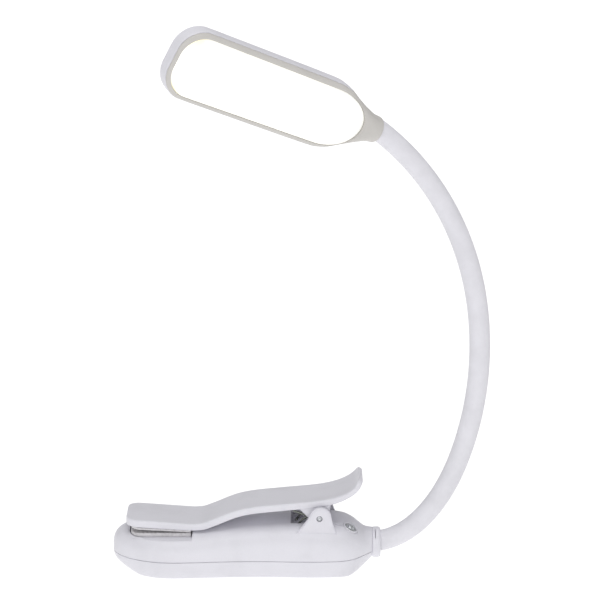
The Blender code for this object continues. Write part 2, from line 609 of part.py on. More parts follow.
def build_head():
    end = arm_point(ARM_LENGTH)
    tangent = arm_tangent(ARM_LENGTH)
    front = make("head_front_frame", *head_solid(), PALE_GREY)
    cut(front, head_block((HEAD_SPLIT_FROM, -30, -20), (130, 30, HEAD_SPLIT + 0.08)))
    cut(front, head_prism(panel_outline(0.15), 1.0, 12.0))
    cut(front, head_prism(panel_outline(-1.6), -3.2, 6.0))
    cut(front, turned([(SLEEVE_RADIUS + 0.25, -8.0), (SLEEVE_RADIUS + 0.25, 1.3)], end, tangent, 20))
    cut(front, turned([(CORE_RADIUS + 0.3, -2.0), (CORE_RADIUS + 0.3, 7.5)], end, tangent, 20))
    cut(front, head_block((5.8, -0.9, -3.3), (14.2, 3.3, 0.5)))

    back = make("head_back_cover", *head_solid(), WHITE_SHELL)
    cut(back, head_block((-5, -30, -20), (HEAD_SPLIT_FROM + 0.16, 30, 20)))
    cut(back, head_block((-5, -30, HEAD_SPLIT - 0.08), (130, 30, 20)))
    cut(back, head_prism(panel_outline(-0.4), -3.3, 12.0))

    make("diffuser_panel", *head_prism(panel_outline(0.0), 2.75, 5.1), colour(252, 252, 246), 0, 0.4)
    tray_out, tray_in = panel_outline(-2.0), panel_outline(-3.2)
    make("reflector_tray", *reflector(tray_out, tray_in), colour(245, 245, 245), 0, 0.6)
    make("led_board", *head_prism(panel_outline(-4.0), -0.6, 0.5), colour(240, 240, 238), 0, 0.5)
    k = 0
    for u in (24.0, 60.5, 97.0):
        for v in (-7.0, 7.0):
            k += 1
            make(f"led_{k}", *head_block((u - 1.4, v - 1.4, 0.6), (u + 1.4, v + 1.4, 1.3)),
                 colour(250, 232, 150), 0, 0.4)
    make("head_lead", *tube_along([end + tangent * 1.0, end + tangent * 5.6, head_point(9.0, 1.7, -1.7),
                                   head_point(11.2, 1.3, -2.45), head_point(13.5, 0.6, -2.7),
                                   head_point(18.0, 0.0, -2.7), head_point(24.0, 0.0, -2.7)], 0.45),
         colour(60, 60, 64))


def reflector(out, inn):
    """A shallow white tray: a rim with a floor, open to the front."""
    floor_low, floor_high, rim = -2.0, -0.9, 2.5
    levels = [(out, floor_low), (out, rim), (inn, rim), (inn, floor_high)]
    rings = [[head_point(u, y, w) for u, y in o] for o, w in levels]
    return rings_to_solid(rings)


def hang(at, *names):
    """Puts the origin of each named piece on the axis it turns about or slides along."""
    at = Vector([float(c) * MM for c in at])
    for name in names:
        obj = bpy.data.objects[name]
        obj.data.transform(Matrix.Translation(-at))
        obj.location = at


def hang_moving_pieces():
    hang((PIN_X, 0, PIN_Z), "clip_lever", "upper_jaw_pad")
    hang(button_place()[0], "power_button")
    for i, s in enumerate(joint_places()):
        hang(arm_point(s), f"arm_sleeve_{i + 1}", f"arm_core_{i + 1}")
    hang(arm_point(joint_places()[-1]), "head_front_frame", "head_back_cover", "diffuser_panel",
         "reflector_tray", "led_board", "head_lead", *[f"led_{k}" for k in range(1, 7)])


for old in list(bpy.data.objects):
    bpy.data.objects.remove(old)
build_base()
build_base_fittings()
build_lever()
build_arm()
build_head()
hang_moving_pieces()
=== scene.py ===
"""Finished looks for a clip-on reading lamp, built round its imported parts.

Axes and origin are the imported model's: +X from the jaw to the neck, +Z up, -Y to the side that the
lit panel faces, the origin in the middle of the base's underside. Shapes are worked out in
millimetres and become metres where a mesh is made.
"""
import json
import math

import bmesh
import bpy
import numpy as np
from mathutils import Matrix, Vector


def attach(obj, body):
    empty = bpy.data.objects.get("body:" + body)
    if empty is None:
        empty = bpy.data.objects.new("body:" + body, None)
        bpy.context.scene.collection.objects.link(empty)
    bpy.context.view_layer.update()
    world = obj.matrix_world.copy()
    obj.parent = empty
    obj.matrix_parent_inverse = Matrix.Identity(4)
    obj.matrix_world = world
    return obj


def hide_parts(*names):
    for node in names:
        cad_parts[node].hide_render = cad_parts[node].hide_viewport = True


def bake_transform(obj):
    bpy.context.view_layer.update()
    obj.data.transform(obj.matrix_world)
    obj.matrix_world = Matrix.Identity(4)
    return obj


bl_info = {
    "name": "Clip-on reading lamp",
    "version": (1, 0, 0),
    "blender": (4, 5, 0),
    "location": "3D View > Sidebar > Lamp",
    "description": "Builds the finished pieces of a clip-on reading lamp and a plain studio round it",
    "category": "Object",
}

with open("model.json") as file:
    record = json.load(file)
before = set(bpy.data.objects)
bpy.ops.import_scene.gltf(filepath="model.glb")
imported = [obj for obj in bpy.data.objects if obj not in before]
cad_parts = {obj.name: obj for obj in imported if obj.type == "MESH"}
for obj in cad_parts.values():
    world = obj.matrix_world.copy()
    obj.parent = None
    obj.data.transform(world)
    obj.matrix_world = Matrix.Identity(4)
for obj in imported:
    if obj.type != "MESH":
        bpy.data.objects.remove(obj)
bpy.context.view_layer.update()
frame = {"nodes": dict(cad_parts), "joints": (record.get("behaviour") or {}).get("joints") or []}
MM = 0.001
SHARP, SHARP_FINE = 38, 50      # degrees between faces from which an edge is drawn sharp

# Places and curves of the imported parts, in millimetres. Pairs are (position along the part, value).
TIP_X, NECK_X = -60.7, 59.0
LEFT_ROUNDING = 29.7
NECK_CENTRE_HEIGHT = 11.1
JAW_LEFT, JAW_RIGHT, JAW_CORNER, JAW_CORNER_Y = -52.6, -23.8, 6.6, 13.2
BASE_HALF_WIDTH = [(-31, 21.5), (5, 19.4), (32, 20.2), (43, 19.6), (50, 16.8), (55, 11.6), (59, 7.0)]
BASE_TOP = [(-31, 20.1), (-21, 20.4), (-8, 21.7), (8, 22.9), (22, 23.6), (40, 23.4), (46, 22.5), (50, 20.9),
            (53, 19.0), (56, 17.5), (59, 17.5)]
BASE_BOTTOM = [(TIP_X, 7.9), (-60.0, 5.6), (-58, 3.4), (-54, 1.7), (-47, 0.5), (-38, 0.0), (48, 0.0),
               (52, 0.2), (55, 0.9), (57.5, 2.6), (59, 4.3)]
LOWER_SIDE_Y = [(0, 1.0), (1, 0.997), (2, 0.99), (3, 0.975), (4, 0.952), (5, 0.925)]
LOWER_SIDE_Z = [(0, 0.0), (1, 0.35), (2, 0.68), (3, 0.88), (4, 0.975), (5, 1.0)]
PIN_X, PIN_Z = 34.6, 27.2
PIN_PLAY = 0.1
EAR_INSIDE, EAR_OUTSIDE, EAR_RADIUS = 13.2, 15.7, 4.9
# The spring's slot in the base's top, the closed well under it, and the groove beside the button.
SLOT = (21.6, -9.2, 19.3), (28.4, 9.2, 30.0)
WELL = (20.9, -9.9, 18.4), (29.1, 9.9, 20.9)
CREASE, CREASE_Y, CREASE_DEPTH = (41.6, 46.4), 9.6, 0.45
COLLAR_SLIT = (60.3, -6.6, 14.3), (60.7, -2.0, 19.1)
LUG_INSIDE, LUG_OUTSIDE = 10.6, 12.5
LEVER_LEFT, LEVER_RIGHT = -54.2, 53.0
LEVER_TOP = [(LEVER_LEFT, 25.9), (-24, 23.7), (-20, 23.9), (-14.8, 25.6), (-7.7, 28.6), (-3, 30.3),
             (3.5, 31.7), (18.5, 33.3), (33, 34.7), (40.5, 36.1), (46.5, 38.3), (50.5, 41.0),
             (LEVER_RIGHT, 44.6)]
LEVER_THICKNESS = [(LEVER_LEFT, 3.4), (-24, 3.2), (-15, 3.2), (10, 3.2), (40, 2.9), (LEVER_RIGHT, 2.1)]
PAD_LEFT, PAD_RIGHT, PAD_HALF_WIDTH = -52.2, -24.3, 12.0
ARM_START = (62.3, 0.0, 11.2)
ARM_LENGTH = 229.0
ARM_TURN = [(0, 10), (20, 43), (50, 67), (90, 83), (130, 98), (170, 115), (229, 141)]   # degrees
ARM_LEAN_FROM, ARM_LEAN = 100.0, 16.0
FIRST_JOINT, ARM_BODIES, BEND_REACH = 8.0, 10, 9.5
HEAD_ALONG, HEAD_UP = (-0.804, -0.457, 0.380), (0.455, -0.080, 0.887)
HEAD_LENGTH = 108.9
HEAD_HALF_WIDTH = [(0, 6.0), (3, 6.1), (8, 7.6), (16, 11.1), (23, 14.4), (29, 15.6), (40, 15.8),
                   (95, 16.0)]
HEAD_FRONT = [(0, 6.0), (8, 5.9), (HEAD_LENGTH, 5.9)]
HEAD_BACK = [(0, 6.0), (4, 5.9), (12, 5.0), (22, 4.2), (HEAD_LENGTH, 4.2)]
HEAD_SPLIT, HEAD_SPLIT_FROM, HEAD_SAG, HEAD_GAP = 4.1, 22.5, 0.9, 0.13
LEAD_CHANNEL = (5.8, -0.9, -3.3), (14.2, 3.3, 0.5)
PANEL_NEAR, PANEL_FAR, PANEL_HALF_WIDTH, PANEL_SHIFT = 10.4, 106.8, 13.6, -0.3
SCREWS = [(-48.5, -6.5), (-48.5, 6.5), (7.0, -13.6), (7.0, 13.6)]
LAMPS = [(u, v) for u in (24.0, 60.5, 97.0) for v in (-7.0, 7.0)]

# The studio in metres: sky and backdrop strengths, lights (name, place, aim, side, watts), and camera.
SKY, BACKDROP = 0.45, 1.0
LIGHTS = [("overhead", (0.0, -0.33, 1.68), (0.02, 0.0, 0.11), 1.0, 9.5),
          ("front", (-0.15, -1.35, 0.40), (0.02, 0.0, 0.06), 0.9, 4.2)]
CAMERA_AIM_X, CAMERA_AIM_Z, CAMERA_FAR, CAMERA_TILT, CAMERA_LENS = 0.0257, 0.1264, 1.1, 14.5, 146.0
FLOOR_Z, FLOOR_RADII = -0.02, (60.0, 600.0, 9000.0)     # millimetres


# ---------------------------------------------------------------- sizes and colours a user can change
def linear(code):
    """A hex sRGB colour as linear values."""
    values = [int(code[i:i + 2], 16) / 255 for i in (1, 3, 5)]
    return [v / 12.92 if v <= 0.04045 else ((v + 0.055) / 1.055) ** 2.4 for v in values]


def size(name, default_mm, description):
    return bpy.props.FloatProperty(name=name, default=default_mm * MM, description=description,
                                   unit="LENGTH", min=0.0, precision=5)


def in_mm(sizes, *names):
    """The named sizes in millimetres."""
    return [getattr(sizes, name) / MM for name in names]


def tint(name, code, description):
    return bpy.props.FloatVectorProperty(name=name, default=linear(code), description=description,
                                         subtype="COLOR", size=3, min=0.0, max=1.0)


class LampSizes(bpy.types.PropertyGroup):
    """Sizes of the finished pieces."""
    parting_height: size("Parting height", 8.0, "Height of the seam between the halves of the base")
    seam_gap: size("Seam gap", 0.16, "Gap between the halves of the base")
    rim_round: size("Seam edge round", 0.3, "Rounding of the two edges at the base's seam")
    wall: size("Wall", 1.8, "Wall thickness of the base")
    jaw_floor: size("Jaw floor height", 17.2, "Height of the flat step that the lower pad lies on")
    lip_round: size("Jaw lip round", 0.4, "Rounding of the edge round the jaw's step")
    lever_half_width: size("Lever half width", 12.9, "Half the width of the clip lever")
    lever_corner: size("Lever corner", 6.0, "Radius of the lever's corners, seen from above")
    lever_top_round: size("Lever top edge round", 1.05, "Rounding of the lever's upper edges")
    lever_low_round: size("Lever lower edge round", 0.5, "Rounding of the lever's lower edges")
    pin_radius: size("Pin radius", 1.25, "Radius of the pivot pin")
    wire_radius: size("Spring wire radius", 0.5, "Radius of the torsion spring's wire")
    button_radius: size("Button radius", 2.75, "Radius of the power button")
    sleeve_radius: size("Sleeve radius", 4.72, "Outside radius of the neck's sleeve")
    sleeve_wall: size("Sleeve wall", 1.35, "Wall thickness of the neck's sleeve")
    rib_pitch: size("Pad rib pitch", 1.9, "Distance between the grip ribs on the jaw pads")


class LampColours(bpy.types.PropertyGroup):
    """Colours of the finished pieces."""
    shell: tint("Shell", "#E2E1E8", "Off-white of the base, the lever and the back of the head")
    bezel: tint("Front frame", "#C8C5C1", "Warm light grey of the frame round the lit panel")
    sleeve: tint("Sleeve", "#E1E0E6", "Off-white of the neck's sleeve")
    pad: tint("Jaw pads", "#D6D4D6", "Warm grey of the jaw pads")
    button: tint("Button", "#C6C9CC", "Plated metal of the button")
    spring: tint("Spring", "#8A8D86", "Dark oiled steel of the spring")
    light: tint("Light", "#FFFDF6", "Colour of the lit panel")
    floor: tint("Floor", "#626262", "Colour of the studio floor under its own glow")


# ---------------------------------------------------------------- curves and frames
def curve(points, x):
    """A smooth line through the given (x, y) points, without overshoot."""
    px = np.array([p[0] for p in points], float)
    py = np.array([p[1] for p in points], float)
    d = np.diff(py) / np.diff(px)
    m = np.zeros(len(px))
    m[0], m[-1] = d[0], d[-1]
    for i in range(1, len(px) - 1):
        if d[i - 1] * d[i] > 0:
            w1 = 2 * (px[i + 1] - px[i]) + (px[i] - px[i - 1])
            w2 = (px[i + 1] - px[i]) + 2 * (px[i] - px[i - 1])
            m[i] = (w1 + w2) / (w1 / d[i - 1] + w2 / d[i])
    x = np.clip(np.asarray(x, float), px[0], px[-1])
    i = np.clip(np.searchsorted(px, x) - 1, 0, len(px) - 2)
    h = px[i + 1] - px[i]
    t = (x - px[i]) / h
    return ((2 * t**3 - 3 * t**2 + 1) * py[i] + (t**3 - 2 * t**2 + t) * h * m[i]
            + (-2 * t**3 + 3 * t**2) * py[i + 1] + (t**3 - t**2) * h * m[i + 1])


def smooth_step(x, low, high):
    t = np.clip((np.asarray(x, float) - low) / (high - low), 0.0, 1.0)
    return t * t * (3 - 2 * t)


def soft_min(a, b, radius):
    """The lower of two heights, with their meeting line rounded."""
    h = np.clip(0.5 + 0.5 * (b - a) / radius, 0.0, 1.0)
    return b * (1 - h) + a * h - radius * h * (1 - h) * 0.5


def quarter(radius, d):
    """How far a rounded edge lies in at a distance d from the end, for a round of the given radius."""
    return radius - np.sqrt(np.maximum(radius**2 - np.maximum(radius - d, 0.0) ** 2, 0.0))


def unit(v):
    v = np.asarray(v, float)
    return v / np.linalg.norm(v)


def frame_of(axis):
    """The axis and two directions across it."""
    axis = unit(axis)
    side = unit(np.cross(axis, (0, 0, 1) if abs(axis[2]) < 0.9 else (1, 0, 0)))
    return axis, side, np.cross(axis, side)


# ---------------------------------------------------------------- meshes
def placed(name, data):
    """A new object in the scene."""
    obj = bpy.data.objects.new(name, data)
    bpy.context.scene.collection.objects.link(obj)
    return obj


def mesh_object(name, verts, faces, smooth_under=SHARP):
    """A closed mesh object from millimetre points, its normals outwards and sharp edges kept sharp."""
    mesh = bpy.data.meshes.new(name)
    mesh.from_pydata((np.asarray(verts, float) * MM).tolist(), [], [tuple(f) for f in faces])
    mesh.update()
    tidy_mesh(mesh, smooth_under)
    return placed(name, mesh)


def points_object(name, points):
    """A mesh of loose points, in metres."""
    mesh = bpy.data.meshes.new(name)
    mesh.from_pydata(points, [], [])
    return placed(name, mesh)


def tidy_mesh(mesh, smooth_under=SHARP):
    work = bmesh.new()
    work.from_mesh(mesh)
    bmesh.ops.remove_doubles(work, verts=work.verts, dist=2e-7)
    bmesh.ops.dissolve_degenerate(work, edges=work.edges, dist=1e-7)
    bmesh.ops.recalc_face_normals(work, faces=work.faces)
    work.to_mesh(mesh)
    work.free()
    mesh.shade_smooth()
    mesh.set_sharp_from_angle(angle=math.radians(smooth_under))


def ring_faces(rows, count, loop=False):
    """Faces through rows of closed rings. loop joins the last row to the first; otherwise both are capped."""
    faces = []
    for i in range(rows if loop else rows - 1):
        a, b = i * count, ((i + 1) % rows) * count
        for j in range(count):
            k = (j + 1) % count
            faces.append((a + j, a + k, b + k, b + j))
    if not loop:
        faces.append(tuple(range(count))[::-1])
        faces.append(tuple((rows - 1) * count + j for j in range(count)))
    return faces


def joined(parts):
    """Several (points, faces) as one."""
    verts, faces = [], []
    for v, f in parts:
        faces += [tuple(i + len(verts) for i in face) for face in f]
        verts += [tuple(p) for p in v]
    return verts, faces


def turned(profile, at, axis, sides=64, loop=False):
    """A turned solid: profile is (radius, distance along the axis)."""
    axis, side, up = frame_of(axis)
    angle = np.linspace(0, 2 * math.pi, sides, endpoint=False)
    across = np.cos(angle)[:, None] * side + np.sin(angle)[:, None] * up
    rows = [np.asarray(at) + axis * d + across * r for r, d in profile]
    return np.concatenate(rows), ring_faces(len(rows), sides, loop)


def rounded(outline, radius, steps=4):
    """A closed line of (a, b) points with its corners rounded."""
    pts = [np.asarray(p, float) for p in outline]
    out = []
    for i, p in enumerate(pts):
        before, after = pts[i - 1], pts[(i + 1) % len(pts)]
        reach = min(radius, np.linalg.norm(before - p) * 0.45, np.linalg.norm(after - p) * 0.45)
        start, end = p + unit(before - p) * reach, p + unit(after - p) * reach
        for t in np.linspace(0, 1, steps + 1):
            out.append(tuple((1 - t) ** 2 * start + 2 * t * (1 - t) * p + t * t * end))
    return out


def upright(a, b, c):
    """Places an outline in the XZ plane, its height along Y."""
    return a, c, b


def prism(outline, place, low, high):
    """An outline of (a, b) points between two heights; place turns (a, b, height) into a point."""
    return [place(a, b, c) for c in (low, high) for a, b in outline], ring_faces(2, len(outline))


def block(low, high, place=lambda a, b, c: (a, b, c)):
    (a0, b0, c0), (a1, b1, c1) = low, high
    return prism([(a0, b0), (a1, b0), (a1, b1), (a0, b1)], place, c0, c1)


def cut_from(obj, *shapes):
    """Cuts each (points, faces) shape out of obj with an exact Boolean."""
    for shape in shapes:
        tool = mesh_object("cutter", *shape)
        mod = obj.modifiers.new("Cut", "BOOLEAN")
        mod.operation, mod.solver, mod.object = "DIFFERENCE", "EXACT", tool
        settle(obj)
        bpy.data.objects.remove(tool)
    tidy_mesh(obj.data)
    return obj


def merge(target, extra):
    """Adds one object's mesh to another's and removes it."""
    work = bmesh.new()
    work.from_mesh(target.data)
    work.from_mesh(extra.data)
    work.to_mesh(target.data)
    work.free()
    bpy.data.objects.remove(extra)
    target.data.set_sharp_from_angle(angle=math.radians(SHARP))
    return target


def settle(obj):
    """Turns what the object's modifiers make into its own plain mesh."""
    graph = bpy.context.evaluated_depsgraph_get()
    mesh = bpy.data.meshes.new_from_object(obj.evaluated_get(graph), depsgraph=graph)
    if obj.type == "MESH":
        obj.modifiers.clear()
        obj.data = mesh
        return obj
    name = obj.name
    bpy.data.objects.remove(obj)
    return placed(name, mesh)


def finish_piece(obj, body, nodes, key=None):
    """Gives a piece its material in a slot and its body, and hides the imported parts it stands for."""
    if key is not None:
        obj.data.materials.clear()
        obj.data.materials.append(material(key))
    if body is not None:
        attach(obj, body)
    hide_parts(*nodes)


# ---------------------------------------------------------------- materials
def add(tree, kind, values=None, links=None, **settings):
    """One node with its settings, its input values and the sockets linked into it."""
    node = tree.nodes.new(kind)
    for name, value in settings.items():
        setattr(node, name, value)
    for name, value in (values or {}).items():
        node.inputs[name].default_value = value
    for name, source in (links or {}).items():
        tree.links.new(source, node.inputs[name])
    return node


def shades(colour, *factors):
    return [[min(1.0, c * f) for c in colour] for f in factors]


class Surface:
    """A material being made: its shader, and patterns in the piece's own coordinates."""

    def __init__(self, name):
        self.made = bpy.data.materials.new(name)
        self.made.use_nodes = True
        self.tree = self.made.node_tree
        self.tree.nodes.clear()
        self.at = self.add("TexCoord").outputs["Object"]
        self.shader = self.add("BsdfPrincipled")
        self.add("OutputMaterial", links={"Surface": self.shader.outputs["BSDF"]})

    def add(self, kind, values=None, links=None, **settings):
        return add(self.tree, "ShaderNode" + kind, values, links, **settings)

    def noise(self, grain_mm, detail, roughness=0.5, at=None):
        return self.add("TexNoise", {"Scale": 1 / (grain_mm * MM), "Detail": detail, "Roughness": roughness},
                        {"Vector": at or self.at}).outputs["Fac"]

    def cells(self, cell_mm):
        return self.add("TexVoronoi", {"Scale": 1 / (cell_mm * MM)}, {"Vector": self.at}).outputs["Distance"]

    def ramp(self, source, *stops):
        """A colour ramp: each stop is (position, colour or grey)."""
        node = self.add("ValToRGB", links={"Fac": source})
        while len(node.color_ramp.elements) < len(stops):
            node.color_ramp.elements.new(0.5)
        for element, (place, value) in zip(node.color_ramp.elements, stops):
            element.position = place
            element.color = [*value, 1.0] if hasattr(value, "__len__") else [value, value, value, 1.0]
        return node.outputs["Color"]

    def spread(self, source, low, high, start=0.0, end=1.0, kind="LINEAR"):
        """Values from start to end become values from low to high."""
        return self.add("MapRange", {"From Min": start, "From Max": end, "To Min": low, "To Max": high},
                        {"Value": source}, interpolation_type=kind).outputs["Result"]

    def multiply(self, a, b, share=1.0):
        return self.add("Mix", {"Factor": share}, {"A": a, "B": b}, data_type="RGBA",
                        blend_type="MULTIPLY").outputs["Result"]

    def bump(self, height, strength, height_mm):
        return self.add("Bump", {"Strength": strength, "Distance": height_mm * MM},
                        {"Height": height}).outputs["Normal"]

    def done(self, tone, roughness, normal=None, ior=1.5, **more):
        """Sets the shader's inputs, each to a value or to the socket it comes from."""
        inputs = {"Base Color": tone, "Roughness": roughness, "IOR": ior}
        if normal is not None:
            inputs["Normal"] = normal
        inputs.update({name.replace("_", " ").title(): value for name, value in more.items()})
        for name, value in inputs.items():
            if isinstance(value, bpy.types.NodeSocket):
                self.tree.links.new(value, self.shader.inputs[name])
            else:
                self.shader.inputs[name].default_value = value
        return self.made


def moulded_plastic(name, colour, roughness=0.42):
    """Injection-moulded ABS from a spark-eroded tool: an even satin with a very fine grain.

    The real grain is about 0.05 mm; it is drawn several times coarser so that it shows. Slow
    changes of tone and gloss stand for the flow of the melt and for handling.
    """
    look = Surface(name)
    dark, mid, light = shades(colour, 0.955, 1.0, 1.02)
    patch, grain = look.noise(14.0, 3.0, 0.55), look.noise(0.35, 2.0)
    flow = look.ramp(patch, (0.32, dark), (0.5, mid), (0.7, light))
    fine = look.ramp(grain, (0.3, 0.965), (0.7, 1.0))
    dust = look.ramp(look.cells(2.6), (0.03, 0.94), (0.07, 1.0))
    gloss = look.spread(patch, roughness - 0.05, roughness + 0.07, 0.3, 0.7)
    return look.done(look.multiply(look.multiply(flow, fine), dust, 0.5), gloss,
                     look.bump(grain, 0.35, 0.012), 1.53)


def silicone_skin(name, colour):
    """Extruded silicone hose: soft, slightly velvety, clouded, with clinging lint."""
    look = Surface(name)
    dark, light = shades(colour, 0.95, 1.015)
    cloud = look.noise(9, 4.0, 0.6)
    base = look.ramp(cloud, (0.35, dark), (0.65, light))
    lint = look.ramp(look.cells(3.4), (0.04, 0.9), (0.08, 1.0))
    return look.done(look.multiply(base, lint, 0.6), look.spread(cloud, 0.5, 0.68),
                     look.bump(look.noise(0.4, 3.0), 0.3, 0.02), 1.41,
                     sheen_weight=0.08, sheen_roughness=0.45)


def pad_rubber(name, colour):
    """Moulded thermoplastic rubber: matt, a little dusty, mottled with use."""
    look = Surface(name)
    dark, mid, light = shades(colour, 0.82, 1.0, 1.12)
    mottle = look.noise(2.4, 5.0, 0.65)
    tone = look.ramp(mottle, (0.3, dark), (0.5, mid), (0.72, light))
    return look.done(tone, look.spread(mottle, 0.68, 0.9), look.bump(look.cells(0.45), 0.5, 0.03))


def worked_metal(name, colour, roughness=0.3, grain_mm=0.5, stretch=(1, 1, 1), contrast=0.12):
    """Plated or drawn metal: fine hairlines from polishing or drawing, faint stains in the gloss."""
    look = Surface(name)
    low, high = shades(colour, 1 - contrast, 1 + contrast * 0.5)
    lines = look.add("Mapping", {"Scale": stretch}, {"Vector": look.at}).outputs["Vector"]
    hair = look.noise(grain_mm, 3.0, at=lines)
    tone = look.ramp(look.noise(4, 4.0, 0.6), (0.35, low), (0.65, high))
    gloss = look.spread(hair, roughness * 0.75, roughness * 1.35, 0.3, 0.7)
    return look.done(tone, gloss, look.bump(hair, 0.2, 0.01), metallic=1.0)


# Warmer spots of the lit panel: (place along and across it, reach, colour).
WARM_SPOTS = [((0.955, 0.93, 0), 0.085, "#FFE86A"), ((0.955, 0.10, 0), 0.07, "#FFF08C"),
              ((0.12, 0.38, 0), 0.12, "#FFDFCB")]


def lit_acrylic(name, colour):
    """Opal acrylic lit from behind: even white, a little warmer over the far light sources.

    The panel's own map runs along the head from 0 at the neck to 1 at the tip, and across it.
    """
    look = Surface(name)
    place = look.add("UVMap", uv_map="panel").outputs["UV"]
    parts = look.add("SeparateXYZ", links={"Vector": place})
    strength = look.spread(parts.outputs["X"], 0.2, 0.34, 0.02, 0.34, "SMOOTHSTEP")
    result = None
    for spot, reach, warm in WARM_SPOTS:
        gap = look.add("VectorMath", {1: spot}, {0: place}, operation="SUBTRACT")
        gap = look.add("VectorMath", {1: (1.0, 0.28, 1.0)}, {0: gap.outputs["Vector"]}, operation="MULTIPLY")
        far = look.add("VectorMath", links={0: gap.outputs["Vector"]}, operation="LENGTH")
        near = look.spread(far.outputs["Value"], 1.0, 0.0, 0.0, reach, "SMOOTHSTEP")
        mix = look.add("Mix", {"B": [*linear(warm), 1.0]}, {"Factor": near}, data_type="RGBA")
        if result is None:
            mix.inputs["A"].default_value = [*colour, 1.0]
        else:
            look.tree.links.new(result, mix.inputs["A"])
        result = mix.outputs["Result"]
    frost = look.ramp(look.noise(6, 2.0), (0.3, linear("#F1F1EC")), (0.7, linear("#FAFAF7")))
    return look.done(frost, 0.35, None, 1.49, emission_color=result, emission_strength=strength)


def speckled(name, dark, light, cell_mm, roughness, height_mm=0.02, metallic=0.0, glow=0.0):
    """A plain technical material whose grain is a cell pattern of a given size."""
    look = Surface(name)
    cells = look.cells(cell_mm)
    cloud = look.noise(cell_mm / 0.3, 3.0)
    both = look.add("Mix", {"Factor": 0.5}, {"A": cells, "B": cloud}).outputs["Result"]
    tone = look.ramp(both, (0.25, linear(dark)), (0.6, linear(light)))
    lit = {"emission_color": tone, "emission_strength": glow} if glow else {}
    return look.done(tone, roughness, look.bump(cells, 0.4, height_mm), metallic=metallic, **lit)


def studio_paper(name, colour):
    """White paper, lit so evenly that it almost glows."""
    look = Surface(name)
    tone = look.ramp(look.noise(25.0, 2.0), (0.3, shades(colour, 0.99)[0]), (0.7, colour))
    return look.done(tone, 0.9, emission_color=(1, 1, 1, 1), emission_strength=0.95)


# Each material's maker, name and settings; a colour is a hex code or the name of a colour setting.
RECIPES = {
    "shell": (moulded_plastic, "Moulded ABS, off-white", "shell"),
    "bezel": (moulded_plastic, "Moulded ABS, light grey", "bezel", 0.46),
    "sleeve": (silicone_skin, "Silicone hose, off-white", "sleeve"),
    "pad": (pad_rubber, "Thermoplastic rubber, grey", "pad"),
    "button": (worked_metal, "Satin nickel plate", "button", 0.2, 0.3),
    # Cold-headed, zinc-plated steel: bright with a faint blue bloom.
    "zinc": (worked_metal, "Zinc-plated steel", "#B4B8BE", 0.32, 0.4),
    # Ground stainless rod: lines run round the pin.
    "pin": (worked_metal, "Ground stainless steel", "#B9BBBF", 0.22, 0.25, (1, 4, 1)),
    # Oil-tempered spring wire: dark, with lines along the wire.
    "spring": (worked_metal, "Oil-tempered spring wire", "spring", 0.38, 0.35, (1, 1, 1), 0.3),
    # Interlocked steel strip of the neck, seen as fine turns across it.
    "core": (worked_metal, "Wound steel strip", "#9DA1A6", 0.35, 0.7, (1, 1, 3), 0.25),
    "diffuser": (lit_acrylic, "Opal acrylic, lit", "light"),
    "floor": (studio_paper, "Studio paper", "floor"),
    # Glass-fibre laminate under green solder mask: the weave shows as small cells.
    "board": (speckled, "Glass-fibre laminate, green", "#0F4A2A", "#1F7A48", 0.8, 0.35),
    # The light board's white solder mask over aluminium.
    "light_board": (speckled, "Solder mask, white", "#DEDEDA", "#F4F4F1", 0.9, 0.4),
    # Aluminium foil pouch under film: crinkled, with soft gloss.
    "pouch": (speckled, "Foil pouch", "#8E99A4", "#C3CBD3", 2.4, 0.28, 0.12, 0.8),
    "foam": (speckled, "Closed-cell foam", "#1D1D1F", "#39393C", 0.5, 0.95, 0.15),
    "wire": (speckled, "Lead insulation, dark", "#1B1B1E", "#303035", 0.6, 0.45, 0.01),
    "wire_red": (speckled, "Lead insulation, red", "#8E1C18", "#B83029", 0.6, 0.45, 0.01),
    "switch": (speckled, "Glass-filled nylon, black", "#161618", "#2B2B2E", 0.25, 0.5, 0.01),
    "phosphor": (speckled, "Phosphor resin", "#F2D774", "#FFF2B0", 0.3, 0.3, 0.01, 0.0, 1.2),
    # Micro-cellular white reflector sheet.
    "reflector": (speckled, "Reflector sheet, white", "#E9E9E6", "#FBFBFA", 0.3, 0.6, 0.01),
}
MATERIALS = {}


def material(key):
    """The finished materials, each made once."""
    if key not in MATERIALS:
        maker, name, colour, *rest = RECIPES[key]
        if not colour.startswith("#"):
            colour = list(getattr(bpy.context.scene.lamp_colours, colour))
        elif maker is worked_metal:
            colour = linear(colour)
        MATERIALS[key] = maker(name, colour, *rest)
    return MATERIALS[key]


# ---------------------------------------------------------------- geometry-node trees
def node_tree(name, inputs):
    """A geometry tree with named inputs, each (name, socket type, default), and its input sockets."""
    tree = bpy.data.node_groups.new(name, "GeometryNodeTree")
    tree.interface.new_socket("Geometry", in_out="INPUT", socket_type="NodeSocketGeometry")
    for label, kind, default in inputs + [("Material", "Material", None)]:
        socket = tree.interface.new_socket(label, in_out="INPUT", socket_type="NodeSocket" + kind)
        if default is not None:
            socket.default_value = default
    tree.interface.new_socket("Geometry", in_out="OUTPUT", socket_type="NodeSocketGeometry")
    return tree, add(tree, "NodeGroupInput").outputs


def end_tree(tree, geometry, finish):
    """Ends a tree with plain geometry and its material."""
    plain = add(tree, "GeometryNodeRealizeInstances", links={"Geometry": geometry})
    done = add(tree, "GeometryNodeSetMaterial", links={"Geometry": plain.outputs[0], "Material": finish})
    add(tree, "NodeGroupOutput", links={"Geometry": done.outputs[0]})
    return tree


